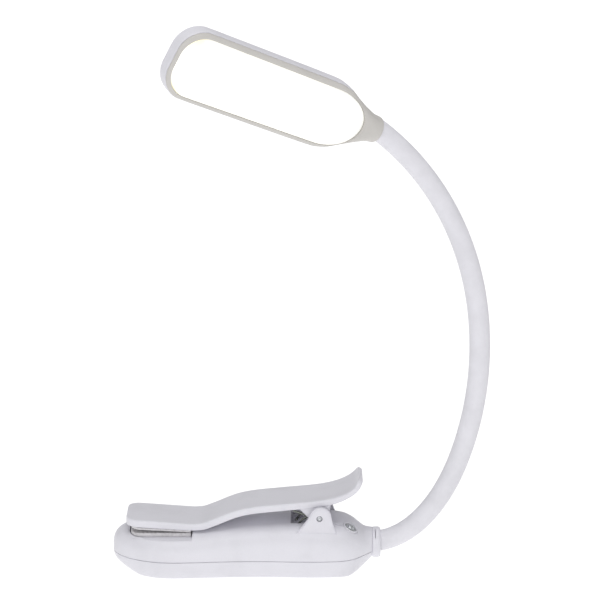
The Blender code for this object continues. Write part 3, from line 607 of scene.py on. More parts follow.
def hose_tree():
    """A round hose or wire along a curve."""
    tree, given = node_tree("Round bar along a curve", [("Radius", "Float", 0.004), ("Sides", "Int", 48),
                                                        ("Closed ends", "Bool", False)])
    ring = add(tree, "GeometryNodeCurvePrimitiveCircle",
               links={"Radius": given["Radius"], "Resolution": given["Sides"]})
    swept = add(tree, "GeometryNodeCurveToMesh",
                links={"Curve": given["Geometry"], "Profile Curve": ring.outputs["Curve"],
                       "Fill Caps": given["Closed ends"]})
    soft = add(tree, "GeometryNodeSetShadeSmooth", links={"Geometry": swept.outputs["Mesh"]})
    return end_tree(tree, soft.outputs["Geometry"], given["Material"])


def repeat_tree():
    """A small shape repeated on points."""
    tree, given = node_tree("Shape repeated on points", [("Shape", "Object", None)])
    shape = add(tree, "GeometryNodeObjectInfo", links={"Object": given["Shape"]})
    copies = add(tree, "GeometryNodeInstanceOnPoints",
                 links={"Points": given["Geometry"], "Instance": shape.outputs["Geometry"]})
    return end_tree(tree, copies.outputs["Instances"], given["Material"])


def grow(obj, tree, **values):
    """Puts a tree on an object, with its inputs set by their identifiers, and keeps what it makes."""
    mod = obj.modifiers.new(tree.name, "NODES")
    mod.node_group = tree
    for item in tree.interface.items_tree:
        key = item.name.lower().replace(" ", "_")
        if item.in_out == "INPUT" and key in values:
            mod[item.identifier] = values[key]
    return settle(obj)


def repeated(name, shape, points, key):
    """One piece made of copies of a shape on points; the shape itself is removed."""
    piece = grow(points_object(name, points), repeat_tree(), shape=shape, material=material(key))
    bpy.data.objects.remove(shape)
    return piece


def path_object(name, points):
    """A curve of straight steps through millimetre points."""
    data = bpy.data.curves.new(name, "CURVE")
    data.dimensions = "3D"
    spline = data.splines.new("POLY")
    spline.points.add(len(points) - 1)
    for target, p in zip(spline.points, points):
        target.co = (p[0] * MM, p[1] * MM, p[2] * MM, 1.0)
    return placed(name, data)


def smooth_path(points, steps=6):
    """Points along a smooth curve through the given ones."""
    p = np.asarray(points, float)
    p = np.vstack([2 * p[0] - p[1], p, 2 * p[-1] - p[-2]])
    out = []
    for i in range(1, len(p) - 2):
        for t in np.linspace(0, 1, steps, endpoint=False):
            out.append(0.5 * ((2 * p[i]) + (p[i + 1] - p[i - 1]) * t
                              + (2 * p[i - 1] - 5 * p[i] + 4 * p[i + 1] - p[i + 2]) * t * t
                              + (3 * p[i] - p[i - 1] - 3 * p[i + 1] + p[i + 2]) * t**3))
    return out + [p[-2]]


# ---------------------------------------------------------------- the clip base
class BaseShape:
    """The outside and inside skins of the base as surfaces over (x, share of the way round)."""

    def __init__(self, sizes):
        self.seam, self.gap, self.wall, self.floor, self.lip, self.rim = in_mm(
            sizes, "parting_height", "seam_gap", "wall", "jaw_floor", "lip_round", "rim_round")

    def left_end(self, x, power):
        d = np.clip((-31.0 - x) / LEFT_ROUNDING, 0, 1)
        return (1 - d**power) ** (1 / power)

    def section(self, x, inset=0.0):
        """Half width, top, bottom, widest height and roundness at x."""
        half = curve(BASE_HALF_WIDTH, x) * self.left_end(x, 2.0)
        top = self.seam + (curve(BASE_TOP, x) - self.seam) * self.left_end(x, 4.0)
        bottom = curve(BASE_BOTTOM, x)
        neck = smooth_step(x, 47.0, 58.0)
        middle = self.seam + (NECK_CENTRE_HEIGHT - self.seam) * neck
        if inset:
            top = np.minimum(top - inset, self.floor - inset + np.maximum(0.0, x + 19.0) * 0.8)
            bottom = bottom + inset
            half = half - inset
        return (np.maximum(half, 0.02), np.maximum(top, middle + 0.02), np.minimum(bottom, middle - 0.02),
                middle, 2.8 - 0.8 * neck)

    def arch(self, x, turn, inset=0.0):
        """Point on the upper skin at x; turn runs from 0 at the widest line to pi/2 at the crest."""
        half, top, bottom, middle, power = self.section(x, inset)
        c, s = np.cos(turn), np.sin(turn)
        e = 2 / power
        y = half * np.where(s > 0, np.maximum(c, 0) ** e, c)
        z = middle + np.where(s > 0, (top - middle) * np.abs(s) ** e, -(middle - bottom) * np.abs(s))
        return y, z

    def jaw_left(self, y):
        """X of the jaw step's tip end at y: straight in the middle, rounded at its corners."""
        a = np.clip(np.abs(y) - (JAW_CORNER_Y - JAW_CORNER), 0, JAW_CORNER)
        return JAW_LEFT + JAW_CORNER - np.sqrt(JAW_CORNER**2 - a**2)

    def upper_skin(self, stations, share):
        """Grid of points for the outside: rows along x, columns from the +Y rim to the crest."""
        x0 = stations[:, None] * np.ones_like(share)[None, :]
        x = x0.copy()
        pull = smooth_step(x0, TIP_X, JAW_LEFT) * (1 - smooth_step(x0, JAW_LEFT, -37.0))
        for _ in range(6):
            y, z = self.arch(x, self.turns(x, share))
            x = x0 + (self.jaw_left(y) - JAW_LEFT) * pull
        y, z = self.arch(x, self.turns(x, share))
        outside = np.maximum(self.jaw_left(y) - x, x - JAW_RIGHT)
        step = self.floor + np.maximum(outside, 0.0) * 12.0
        z = soft_min(z, step, self.lip * 1.6)
        rim = self.seam + self.gap / 2
        low = np.clip((rim + self.rim - z) / self.rim, 0, 1)
        pull_in = np.minimum(self.rim * 0.75, self.section(x)[0] * 0.06)
        y = y - pull_in * (1 - np.sqrt(np.maximum(1 - low**2, 0.0)))
        return x, np.maximum(y, 0.0), np.maximum(z, rim)

    def turns(self, x, share):
        """Spacing round the arch: fine at the rim and where the jaw's step meets the side."""
        half, top, bottom, middle, power = self.section(x)
        rim = self.seam + self.gap / 2
        drop = np.clip((middle - rim) / (middle - bottom), 0.0, 1.0)
        start = -np.arcsin(drop)
        level = np.clip((self.floor - middle) / np.maximum(top - middle, 1e-3), 0.05, 0.985)
        meet = np.minimum(np.arcsin(np.clip(level ** (power / 2), 0.0, 0.999)), 1.32)
        band, knots = 0.09, [0.0, 0.08, 0.5, 0.72, 1.0]
        out = np.interp(np.broadcast_to(share, x.shape), knots, range(5))
        low = np.floor(np.minimum(out, 3.999)).astype(int)
        part = out - low
        ends = start, start + 0.05, np.maximum(meet - band, 0.1), meet + band, math.pi / 2
        levels = np.stack([np.broadcast_to(a, x.shape) for a in ends])
        first = np.take_along_axis(levels, low[None], 0)[0]
        second = np.take_along_axis(levels, low[None] + 1, 0)[0]
        return first + (second - first) * part

    def upper(self):
        left = TIP_X + LEFT_ROUNDING * (1 - np.cos(np.linspace(0.0, 1.0, 27)))
        wall = JAW_RIGHT + np.array([-0.9, -0.5, -0.25, -0.1, -0.03, 0.0, 0.04, 0.08, 0.12, 0.16, 0.2, 0.25,
                                     0.32, 0.45, 0.7, 1.1])
        tip_wall = JAW_LEFT + np.array([-0.9, -0.55, -0.35, -0.25, -0.2, -0.16, -0.12, -0.08, -0.04, 0.0,
                                        0.04, 0.12, 0.3, 0.6])
        plain = np.concatenate([left[(left < JAW_LEFT - 1.0)], tip_wall,
                                np.linspace(JAW_LEFT + 1.2, JAW_RIGHT - 1.4, 26), wall,
                                np.linspace(JAW_RIGHT + 2.0, 40, 44), np.linspace(40.8, NECK_X, 26)])
        share = np.concatenate([np.linspace(0, 0.08, 8), np.linspace(0.08, 0.5, 14)[1:],
                                np.linspace(0.5, 0.72, 11)[1:], np.linspace(0.72, 1.0, 10)[1:]])
        x, y, z = self.upper_skin(plain, share)
        outer = self.both_sides(x, y, z)
        yi, zi = self.arch(x, self.turns(x, share), self.wall)
        return self.cup(outer, self.both_sides(self.inside(x), yi, np.maximum(zi, self.seam + self.gap / 2)))

    def lower(self):
        left = TIP_X + LEFT_ROUNDING * (1 - np.cos(np.linspace(0.0, math.pi / 2, 41)))
        plain = np.concatenate([left, np.linspace(-30, 40, 50), np.linspace(40.8, NECK_X, 26)])
        share = np.concatenate([np.linspace(0, 0.06, 6), np.linspace(0.06, 0.8, 24)[1:],
                                np.linspace(0.8, 1.0, 6)[1:]])
        skins = []
        for inset in (0.0, self.wall):
            x = plain[:, None] * np.ones_like(share)[None, :]
            half, _, bottom, middle, _ = self.section(x, inset)
            neck = (middle - self.seam) / (NECK_CENTRE_HEIGHT - self.seam)
            seam = self.seam - self.gap / 2
            drop = np.clip((middle - seam) / (middle - bottom), 0, 1)
            side = np.minimum(share / 0.8, 1.0)[None, :] * np.ones_like(x)
            across = np.clip((share - 0.8) / 0.2, 0, 1)[None, :]
            start = np.arcsin(drop)
            box_y = half * curve(LOWER_SIDE_Y, side * 5) * (1 - across)
            box_z = seam - (seam - bottom) * curve(LOWER_SIDE_Z, side * 5)
            tip = 1 - smooth_step(x, TIP_X + 1.0, -46.0)
            tip_turn = math.pi / 2 * share[None, :]
            box_y = box_y + (half * np.cos(tip_turn) ** 0.8 - box_y) * tip
            box_z = box_z + (seam - (seam - bottom) * np.sin(tip_turn) ** 0.8 - box_z) * tip
            round_turn = start + (math.pi / 2 - start) * share[None, :]
            round_y = half * np.cos(round_turn)
            round_z = middle - (middle - bottom) * np.sin(round_turn)
            y = round_y * neck + box_y * (1 - neck)
            z = np.minimum(round_z * neck + box_z * (1 - neck), seam)
            if not inset:
                high = np.clip((z - (seam - self.rim)) / self.rim, 0, 1)
                y = y - np.minimum(self.rim * 0.75, half * 0.06) * (1 - np.sqrt(np.maximum(1 - high**2, 0.0)))
            else:
                x = self.inside(x)
            skins.append(self.both_sides(x, np.maximum(y, 0.0), z))
        return self.cup(*skins)

    def inside(self, x):
        """Where the inner skin's rows lie: a wall's thickness in at the tip, just out at the neck."""
        end = NECK_X + 0.3
        return TIP_X + self.wall + (x - TIP_X) * (end - TIP_X - self.wall) / (end - TIP_X)

    def both_sides(self, x, y, z):
        """Mirrors a half grid whose last column is the middle line."""
        half = np.stack([x, y, z], -1)
        half[:, -1, 1] = 0.0
        other = half[:, -2::-1] * np.array([1, -1, 1])
        return np.concatenate([half, other], 1)

    def cup(self, outer, inner):
        """Outer and inner skins with the rims between them."""
        rows, n = outer.shape[:2]
        verts = np.concatenate([outer.reshape(-1, 3), inner.reshape(-1, 3)])
        shift = rows * n
        faces = []
        for i in range(rows - 1):
            a, b = i * n, (i + 1) * n
            faces += [(a + j, a + j + 1, b + j + 1, b + j) for j in range(n - 1)]
            faces += [(shift + b + j, shift + b + j + 1, shift + a + j + 1, shift + a + j)
                      for j in range(n - 1)]
            faces += [(a + j, b + j, shift + b + j, shift + a + j) for j in (0, n - 1)]
        for a in (0, (rows - 1) * n):
            faces += [(a + j, a + j + 1, shift + a + j + 1, shift + a + j) for j in range(n - 1)]
        return verts, faces

    def top_at(self, x, y):
        half, top, _, middle, power = self.section(np.asarray(x, float))
        return middle + (top - middle) * np.maximum(0.0, 1 - abs(y / half) ** power) ** (1 / power)


def ear_outline(count=72):
    """The ear seen from the side, as points at even angles round the pin."""
    corners = [(20.6, 15.5), (44.4, 15.5), (42.7, 19.4), (41.5, 22.4), (40.6, 25.0)]
    corners += [(PIN_X + 0.5 + EAR_RADIUS * math.cos(a), PIN_Z + 0.4 + EAR_RADIUS * math.sin(a))
                for a in np.radians(np.linspace(4, 150, 30))]
    corners += [(28.9, 26.2), (26.4, 22.8), (24.0, 20.4), (22.0, 18.6)]
    return star_outline(corners, count)


def lug_outline(count=56):
    corners = [(24.6, 31.6), (28.8, 27.4)]
    corners += [(PIN_X + 3.5 * math.cos(a), PIN_Z + 3.5 * math.sin(a))
                for a in np.radians(np.linspace(-140, 0, 20))]
    corners += [(39.2, 30.1), (40.2, 34.2)]
    return star_outline(corners, count)


def star_outline(corners, count):
    """Where rays from the pin meet a closed line of corners."""
    pts = np.array(corners, float) - (PIN_X, PIN_Z)
    nxt = np.roll(pts, -1, axis=0)
    out = []
    for a in np.linspace(0, 2 * math.pi, count, endpoint=False):
        ray = np.array([math.cos(a), math.sin(a)])
        best = 0.0
        for p, q in zip(pts, nxt):
            d = q - p
            det = ray[0] * -d[1] + d[0] * ray[1]
            if abs(det) < 1e-12:
                continue
            reach = (p[0] * -d[1] + d[0] * p[1]) / det
            along = (ray[0] * p[1] - ray[1] * p[0]) / det
            if reach > 0 and -1e-9 <= along <= 1 + 1e-9:
                best = max(best, reach)
        out.append(ray * best)
    return np.array(out)


def holed_plate(outline, hole, y0, y1, edge):
    """A plate round the pin with a round hole and rounded outer and hole edges."""
    n = len(outline)
    angle = np.linspace(0, 2 * math.pi, n, endpoint=False)
    ring = np.stack([np.cos(angle), np.sin(angle)], 1)
    reach = np.linalg.norm(outline, axis=1)
    side = 1.0 if y1 > y0 else -1.0
    rows = []

    def row(radii, y):
        p = ring * np.asarray(radii)[:, None]
        rows.append(np.stack([PIN_X + p[:, 0], np.full(n, y), PIN_Z + p[:, 1]], 1))
    bend = [(edge * (1 - math.cos(t)), edge * (1 - math.sin(t))) for t in np.linspace(0, math.pi / 2, 5)]
    row(np.full(n, hole), y0)
    for d, s in bend:
        row(reach - d, y0 + side * s)
    for d, s in bend[::-1]:
        row(reach - d, y1 - side * s)
    row(np.full(n, hole + 0.12), y1)
    row(np.full(n, hole), y1 - side * 0.12)
    return np.concatenate(rows), ring_faces(len(rows), n, loop=True)


class LAMP_OT_base(bpy.types.Operator):
    """Makes the two halves of the clip base with the jaw's step, the ears and the button's seat"""
    bl_idname = "lamp.base"
    bl_label = "Clip base"

    def execute(self, context):
        sizes = context.scene.lamp_sizes
        shape = BaseShape(sizes)
        pin, r = in_mm(sizes, "pin_radius", "button_radius")
        upper = mesh_object("clip_base_upper", *shape.upper())
        place, axis = button_place()
        slot = block(*SLOT)
        crease = [(x, shape.top_at(x, CREASE_Y) - CREASE_DEPTH) for x in CREASE]
        crease += [(x, 30.0) for x in CREASE[::-1]]
        cut_from(upper, turned([(r + 1.15, -6.5), (r + 1.15, 6)], place, axis, 48), slot,
                 prism(crease, upright, -9.95, -9.35))
        well = mesh_object("well", *block(*WELL))
        merge(upper, cut_from(well, slot))
        ears = [holed_plate(ear_outline(), pin + PIN_PLAY, side * EAR_INSIDE, side * EAR_OUTSIDE, 0.45)
                for side in (-1, 1)]
        merge(upper, mesh_object("ears", *joined(ears)))
        finish_piece(upper, "base", ["base_upper_shell"], "shell")

        lower = mesh_object("clip_base_lower", *shape.lower())
        wells = joined([turned([(2.6, -1), (2.6, 3.2), (1.35, 3.2), (1.35, 9)], (x, y, 0), (0, 0, 1), 40)
                        for x, y in SCREWS])
        inlet = rounded([(17.3, 3.4), (26.7, 3.4), (26.7, 6.3), (17.3, 6.3)], 1.0)
        cut_from(lower, wells, prism(inlet, upright, 15.0, 24.0))
        finish_piece(lower, "base", ["base_lower_shell"], "shell")
        return {"FINISHED"}


def button_place():
    """The middle of the button where it comes out of the shoulder, and the way it faces."""
    joint = next(j for j in frame["joints"] if j["name"] == "button_slide")
    return np.array(joint["pos_m"]) / MM + (0.9, -0.8, -0.55), -np.array(joint["axis"])


# ---------------------------------------------------------------- jaw pads
def pad_piece(name, low, high, ribs_up, pitch, slope=0.0):
    """A rubber pad with round corners at the tip end and grip ribs on one face.

    low and high are heights at the pad's right end; both rise by slope towards the tip.
    """
    corner, edge = 5.2, 0.3
    xs = np.unique(np.concatenate([np.linspace(PAD_LEFT, PAD_LEFT + corner, 14),
                                   np.arange(PAD_LEFT + corner, PAD_RIGHT, pitch / 8),
                                   PAD_RIGHT - np.array([0.3, 0.22, 0.12, 0.05, 0.0])]))
    rows = []
    for x in xs:
        d = x - PAD_LEFT
        half = PAD_HALF_WIDTH - quarter(corner, d)
        end = min(d, PAD_RIGHT - x)
        soft = quarter(edge, end)
        rise = slope * (PAD_RIGHT - x)
        wave = 0.16 * (0.5 - 0.5 * math.cos(2 * math.pi * (x - PAD_RIGHT) / pitch))
        wave *= float(smooth_step(end, 0.8, 1.6))
        z0, z1 = low + rise + soft, high + rise - soft
        top = z1 - (wave if ribs_up else 0.0)
        bottom = z0 + (0.0 if ribs_up else wave)
        h = max(half - soft, 0.5)
        e = min(edge, (z1 - z0) * 0.3)
        ring = [(h - e, top), (h - e * 0.3, z1 - e * 0.3), (h, z1 - e), (h, z0 + e),
                (h - e * 0.3, z0 + e * 0.3), (h - e, bottom)]
        ring += [(-y, z) for y, z in ring[::-1]]
        inner = np.linspace(h - e, -(h - e), 7)[1:-1]
        ring = [(y, top) for y in inner[::-1]] + ring[:6] + [(y, bottom) for y in inner] + ring[6:]
        rows.append([(x, y, z) for y, z in ring])
    return mesh_object(name, np.array(rows).reshape(-1, 3), ring_faces(len(rows), len(rows[0])), SHARP_FINE)


class LAMP_OT_jaw_pads(bpy.types.Operator):
    """Makes the two ribbed rubber pads in the jaw"""
    bl_idname = "lamp.jaw_pads"
    bl_label = "Jaw pads"

    def execute(self, context):
        pitch, floor = in_mm(context.scene.lamp_sizes, "rib_pitch", "jaw_floor")
        lower = pad_piece("lower_pad", floor + 0.05, floor + 1.95, True, pitch)
        finish_piece(lower, "base", ["lower_jaw_pad"], "pad")
        slope = (1.5 / 29.8)
        under = 20.5 + slope * 0.6
        upper = pad_piece("upper_pad", under - 1.1, under - 0.05, False, pitch, slope)
        finish_piece(upper, "lever", ["upper_jaw_pad"], "pad")
        return {"FINISHED"}


# ---------------------------------------------------------------- the clip lever
def jaw_line(points, x):
    """The smooth curve, but straight over the jaw."""
    (x0, y0), (x1, y1) = points[:2]
    return np.where(x <= x1, y0 + (x - x0) * (y1 - y0) / (x1 - x0), curve(points, x))


class LAMP_OT_lever(bpy.types.Operator):
    """Makes the bent clip lever with its two lugs on the pivot pin"""
    bl_idname = "lamp.lever"
    bl_label = "Clip lever"

    def execute(self, context):
        sizes = context.scene.lamp_sizes
        width, corner, top_round, low_round, pin = in_mm(
            sizes, "lever_half_width", "lever_corner", "lever_top_round", "lever_low_round", "pin_radius")
        ease = (1 - np.cos(np.linspace(0, math.pi / 2, 16)))
        xs = np.unique(np.concatenate([LEVER_LEFT + corner * ease, np.linspace(LEVER_LEFT + corner, -26, 14),
                                       np.linspace(-25.5, 5, 46), np.linspace(6, 40, 30),
                                       np.linspace(40.5, 51.2, 24), LEVER_RIGHT - 1.8 * ease]))
        zs = jaw_line(LEVER_TOP, xs)
        thick = jaw_line(LEVER_THICKNESS, xs)
        line = np.stack([xs, zs], 1)
        away = np.concatenate([[0], np.cumsum(np.hypot(*np.diff(line, axis=0).T))])
        along = np.gradient(line, away, axis=0)
        along /= np.linalg.norm(along, axis=1)[:, None]
        down = np.stack([along[:, 1], -along[:, 0]], 1)
        steep = smooth_step(xs, -27.0, -21.0)[:, None]
        down = down * steep + np.array([0.0, -1.0]) * (1 - steep)
        down /= np.linalg.norm(down, axis=1)[:, None]
        rows = []
        for i in range(len(xs)):
            d = min(away[i], away[-1] - away[i])
            half, end = width - quarter(corner, d), quarter(0.75, d)
            upper, lower = min(top_round, thick[i] * 0.42), min(low_round, thick[i] * 0.25)
            outline = []
            for t in np.linspace(math.pi / 2, 0, 7):
                outline.append((half - upper + upper * math.cos(t), upper - upper * math.sin(t)))
            for t in np.linspace(0, math.pi / 2, 5):
                outline.append((half - lower + lower * math.cos(t), thick[i] - lower + lower * math.sin(t)))
            outline += [((half - lower) * (1 - k / 5), thick[i]) for k in range(1, 5)]
            outline = [(y - min(end, y * 0.5), dd * (1 - 2 * end / thick[i]) + end) for y, dd in outline]
            over = [((half - upper) * k / 5, end) for k in range(1, 5)]
            ring = over + outline
            full = ring + [(0.0, ring[-1][1])] + [(-y, dd) for y, dd in ring[::-1]] + [(0.0, ring[0][1])]
            rows.append([(line[i][0] + down[i][0] * dd, y, line[i][1] + down[i][1] * dd) for y, dd in full])
        lever = mesh_object("clip_lever_finished", np.array(rows).reshape(-1, 3),
                            ring_faces(len(rows), len(rows[0])), SHARP_FINE)
        lugs = [holed_plate(lug_outline(), pin + PIN_PLAY, side * LUG_INSIDE, side * LUG_OUTSIDE, 0.3)
                for side in (-1, 1)]
        merge(lever, mesh_object("lugs", *joined(lugs)))
        finish_piece(lever, "lever", ["clip_lever"], "shell")
        return {"FINISHED"}


class LAMP_OT_pivot(bpy.types.Operator):
    """Makes the pivot pin and the double torsion spring wound on it"""
    bl_idname = "lamp.pivot"
    bl_label = "Pivot pin and spring"

    def execute(self, context):
        sizes = context.scene.lamp_sizes
        r = sizes.pin_radius / MM
        profile = [(0.02, -15.12), (0.35, -15.3), (r - 0.25, -15.3), (r - 0.07, -15.2), (r, -15.05)]
        profile += [(a, -d) for a, d in profile[::-1]]
        pin = mesh_object("pin", *turned(profile, (PIN_X, 0, PIN_Z), (0, 1, 0), 40))
        finish_piece(pin, "base", ["pivot_pin"], "pin")

        turns, radius, pitch, inner, steps = 4, 2.95, 1.12, 5.2, 40
        half = []
        for i in range(turns * steps + 1):
            a = math.radians(205) + 2 * math.pi * i / steps
            half.append(np.array((PIN_X + radius * math.cos(a), inner + pitch * i / steps,
                                  PIN_Z + radius * math.sin(a))))
        end = half[-1]
        leg = smooth_path([half[-1], end + (-3.0, 0.1, 1.0), end + (-6.5, 0.1, 2.3), end + (-9.4, 0.1, 3.3)])
        bridge = smooth_path([(22.8, 0, 18.2), (22.8, inner - 1.6, 18.2), (24.2, inner, 19.9),
                              (26.6, inner, 23.2), (29.4, inner, 24.9), tuple(half[0])])
        right = bridge + half[1:] + leg[1:]
        left = [np.asarray(p) * (1, -1, 1) for p in right[:0:-1]]
        spring = path_object("spring_coils", left + [np.asarray(p) for p in right])
        spring = grow(spring, hose_tree(), radius=sizes.wire_radius, sides=14, closed_ends=True,
                      material=material("spring"))
        finish_piece(spring, "base", ["torsion_spring"])
        return {"FINISHED"}


# ---------------------------------------------------------------- the button, the inlet and the screws
class LAMP_OT_button(bpy.types.Operator):
    """Makes the plated power button and the ring round it"""
    bl_idname = "lamp.button"
    bl_label = "Power button"

    def execute(self, context):
        place, axis = button_place()
        r = context.scene.lamp_sizes.button_radius / MM
        ring = rounded([(r + 0.15, -1.6), (r + 1.0, -1.6), (r + 1.0, 0.5), (r + 0.4, 0.62), (r + 0.15, 0.3)],
                       0.22)
        ring = mesh_object("button_bezel", *turned(ring, place, axis, 72, loop=True), 60)
        finish_piece(ring, "base", ["button_ring"], "shell")
        dome = [(0.03, -3.3), (1.1, -3.3), (1.3, -3.1), (1.3, -1.4), (r - 0.1, -1.4), (r, -1.3), (r, 0.1)]
        dome += [(r - 0.28 + 0.28 * math.cos(t), 0.1 + 0.28 * math.sin(t)) for t in np.linspace(0.2, 1.57, 6)]
        dome += [(r - 0.75, 0.36), (r - 1.0, 0.5)]
        dome += [((r - 1.15) * math.cos(t), 0.5 + 0.85 * math.sin(t)) for t in np.linspace(0.1, 1.55, 14)]
        button = mesh_object("button_cap", *turned(dome, place, axis, 72), 60)
        finish_piece(button, "button", ["power_button"], "button")
        return {"FINISHED"}


class LAMP_OT_inlet(bpy.types.Operator):
    """Makes the charging inlet: a pressed steel shell with its contact tongue"""
    bl_idname = "lamp.inlet"
    bl_label = "Charging inlet"

    def execute(self, context):
        def across(a, b, c):
            return (22.0 + a, c, 4.82 + b)
        outside = rounded([(-4.35, 0.92), (4.35, 0.92), (4.35, -0.2), (3.6, -0.92), (-3.6, -0.92),
                           (-4.35, -0.2)], 0.35)
        inside = [(a * 0.925, b * 0.68) for a, b in outside]
        edge = [(a * 0.99, b * 0.96) for a, b in outside]
        steps = [(outside, 12.2), (outside, 19.35), (edge, 19.5), (inside, 19.4), (inside, 13.0)]
        shell = [across(a, b, y) for outline, y in steps for a, b in outline], ring_faces(5, len(outside))
        tongue = block((18.9, 13.2, 4.72), (25.1, 18.9, 5.02))
        port = mesh_object("charging_inlet", *joined([shell, tongue]))
        finish_piece(port, "base", ["charging_port"], "zinc")
        return {"FINISHED"}


class LAMP_OT_screws(bpy.types.Operator):
    """Makes the four cross-recess screws that hold the base together"""
    bl_idname = "lamp.screws"
    bl_label = "Base screws"

    def execute(self, context):
        profile = [(0.02, 1.4), (1.5, 1.42), (1.95, 1.55), (2.2, 1.9), (2.3, 2.3), (2.3, 3.0), (1.0, 3.05)]
        for k in range(12):      # ridges stand in for the thread
            profile += [(1.05, 3.4 + k * 0.8), (0.85, 3.8 + k * 0.8)]
        profile += [(0.6, 13.2), (0.05, 13.6)]
        screw = mesh_object("one_screw", *turned(profile, (0, 0, 0), (0, 0, 1), 36))
        arms = [block((-1.25, -0.27, 0.5), (1.25, 0.27, 2.3)), block((-0.27, -1.25, 0.5), (0.27, 1.25, 2.3))]
        cut_from(screw, *arms)
        screws = repeated("base_screws", screw, [(x * MM, y * MM, 0.0) for x, y in SCREWS], "zinc")
        finish_piece(screws, "base", [f"base_screw_{i}" for i in range(1, 5)], "zinc")
        return {"FINISHED"}


# ---------------------------------------------------------------- the neck
def arm_tangent(s):
    rise = math.radians(float(curve(ARM_TURN, s))) * min(1.0, max(0.0, 1.0 + s / 5.0))
    lean = math.radians(ARM_LEAN) * max(0.0, (s - ARM_LEAN_FROM) / (ARM_LENGTH - ARM_LEAN_FROM)) ** 2
    return np.array((math.cos(lean) * math.cos(rise), -math.sin(lean), math.cos(lean) * math.sin(rise)))


def arm_table(step=0.25):
    s = np.arange(-6.0, ARM_LENGTH + 8.0, step)
    t = np.array([arm_tangent(min(v, ARM_LENGTH)) for v in s])
    p = np.concatenate([[np.zeros(3)], np.cumsum((t[1:] + t[:-1]) / 2 * step, axis=0)])
    return s, p - p[int(round(6.0 / step))] + np.array(ARM_START)


ARM_S, ARM_P = arm_table()


def arm_point(s):
    return np.array([np.interp(s, ARM_S, ARM_P[:, k]) for k in range(3)])


class LAMP_OT_neck(bpy.types.Operator):
    """Makes the collar and the neck's sleeve, one length of it across each of the neck's joints"""
    bl_idname = "lamp.neck"
    bl_label = "Neck"

    def execute(self, context):
        sizes = context.scene.lamp_sizes
        profile = rounded([(5.0, 58.9), (6.5, 58.9), (7.05, 59.5), (7.1, 61.9), (6.5, 62.9), (5.0, 63.0)],
                          0.45, 5)
        middle = (0, 0, NECK_CENTRE_HEIGHT - 0.5)
        collar = mesh_object("neck_collar", *turned(profile, middle, (1, 0, 0), 96, True), 60)
        cut_from(collar, block(*COLLAR_SLIT))
        finish_piece(collar, "base", ["collar_ring"], "shell")

        tree = hose_tree()
        pitch = (ARM_LENGTH - FIRST_JOINT) / ARM_BODIES
        joints = [FIRST_JOINT + pitch * i for i in range(ARM_BODIES)]
        middles = [-3.2] + [s + pitch / 2 for s in joints[:-1]] + [ARM_LENGTH + 1.0]
        for i, joint in enumerate(joints):
            count = int((middles[i + 1] - middles[i]) / 0.9) + 2
            path = path_object(f"neck_sleeve_{i + 1}",
                               [arm_point(s) for s in np.linspace(middles[i], middles[i + 1], count)])
            piece = grow(path, tree, radius=sizes.sleeve_radius, sides=64, material=material("sleeve"))
            wall = piece.modifiers.new("Wall", "SOLIDIFY")
            wall.thickness, wall.offset, wall.use_even_offset = sizes.sleeve_wall, -1.0, True
            settle(piece)
            piece.data.set_sharp_from_angle(angle=math.radians(SHARP_FINE))
            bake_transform(piece)
            nodes = ["arm_sleeve_0", "arm_sleeve_1"] if i == 0 else [f"arm_sleeve_{i + 1}"]
            finish_piece(piece, None, nodes)
        return {"FINISHED"}


# ---------------------------------------------------------------- the light head
def head_axes():
    a = unit(HEAD_ALONG)
    v = unit(np.array(HEAD_UP) - np.dot(HEAD_UP, a) * a)
    return a, v, -np.cross(a, v)


HEAD_AXES = head_axes()
HEAD_ORIGIN = arm_point(ARM_LENGTH)


def head_point(u, v, w):
    """u from the socket to the tip, v to the upper long side, w out of the lit face."""
    a, s, n = HEAD_AXES
    sag = HEAD_SAG * (0.6 + 0.4 * float(smooth_step(u, 0.0, 22.0)))
    return HEAD_ORIGIN + a * u + s * (v - sag) + n * w


def head_outline(level):
    """The head's outline at a level from -1, its back, to 1, its front, as (u, v, w) points."""
    shape = abs(level)
    inset = 16.5 * (1 - (1 - shape**6) ** (1 / 6))
    length = HEAD_LENGTH - inset
    corner = max(12.0 - inset, 1.5)
    body = np.concatenate([[0.0, 0.5, 1.2, 2.2, 3.4], np.linspace(5, 32, 26), np.linspace(35, 92, 16)])
    body = np.minimum(body, length - corner)
    tip = length - corner * (1 - np.sin(np.linspace(0, math.pi / 2, 16)[1:]))
    u = np.concatenate([body, tip])
    grow_power = smooth_step(u, 0.0, 26.0)
    power = 2.0 + 4.0 * grow_power
    half = curve(HEAD_HALF_WIDTH, u) * (1 - shape**power) ** (1 / power)
    half = half - quarter(corner, np.maximum(length - u, 0))
    soft = np.interp(u, [0.0, 0.5, 1.2, 2.2], [0.35, 0.12, 0.03, 0.0])
    half = np.maximum(half - soft, 0.05)
    depth = curve(HEAD_FRONT if level > 0 else HEAD_BACK, u)
    w = level * (depth - soft)
    return [(a, b, c) for a, b, c in zip(u, half, w)] + [(a, -b, c) for a, b, c in zip(u[::-1], half[::-1],
                                                                                       w[::-1])]


def head_solid():
    levels = np.sin(np.linspace(-math.pi / 2 + 0.03, math.pi / 2 - 0.03, 45))
    rows = [[head_point(*p) for p in head_outline(level)] for level in levels]
    return np.array(rows).reshape(-1, 3), ring_faces(len(rows), len(rows[0]))


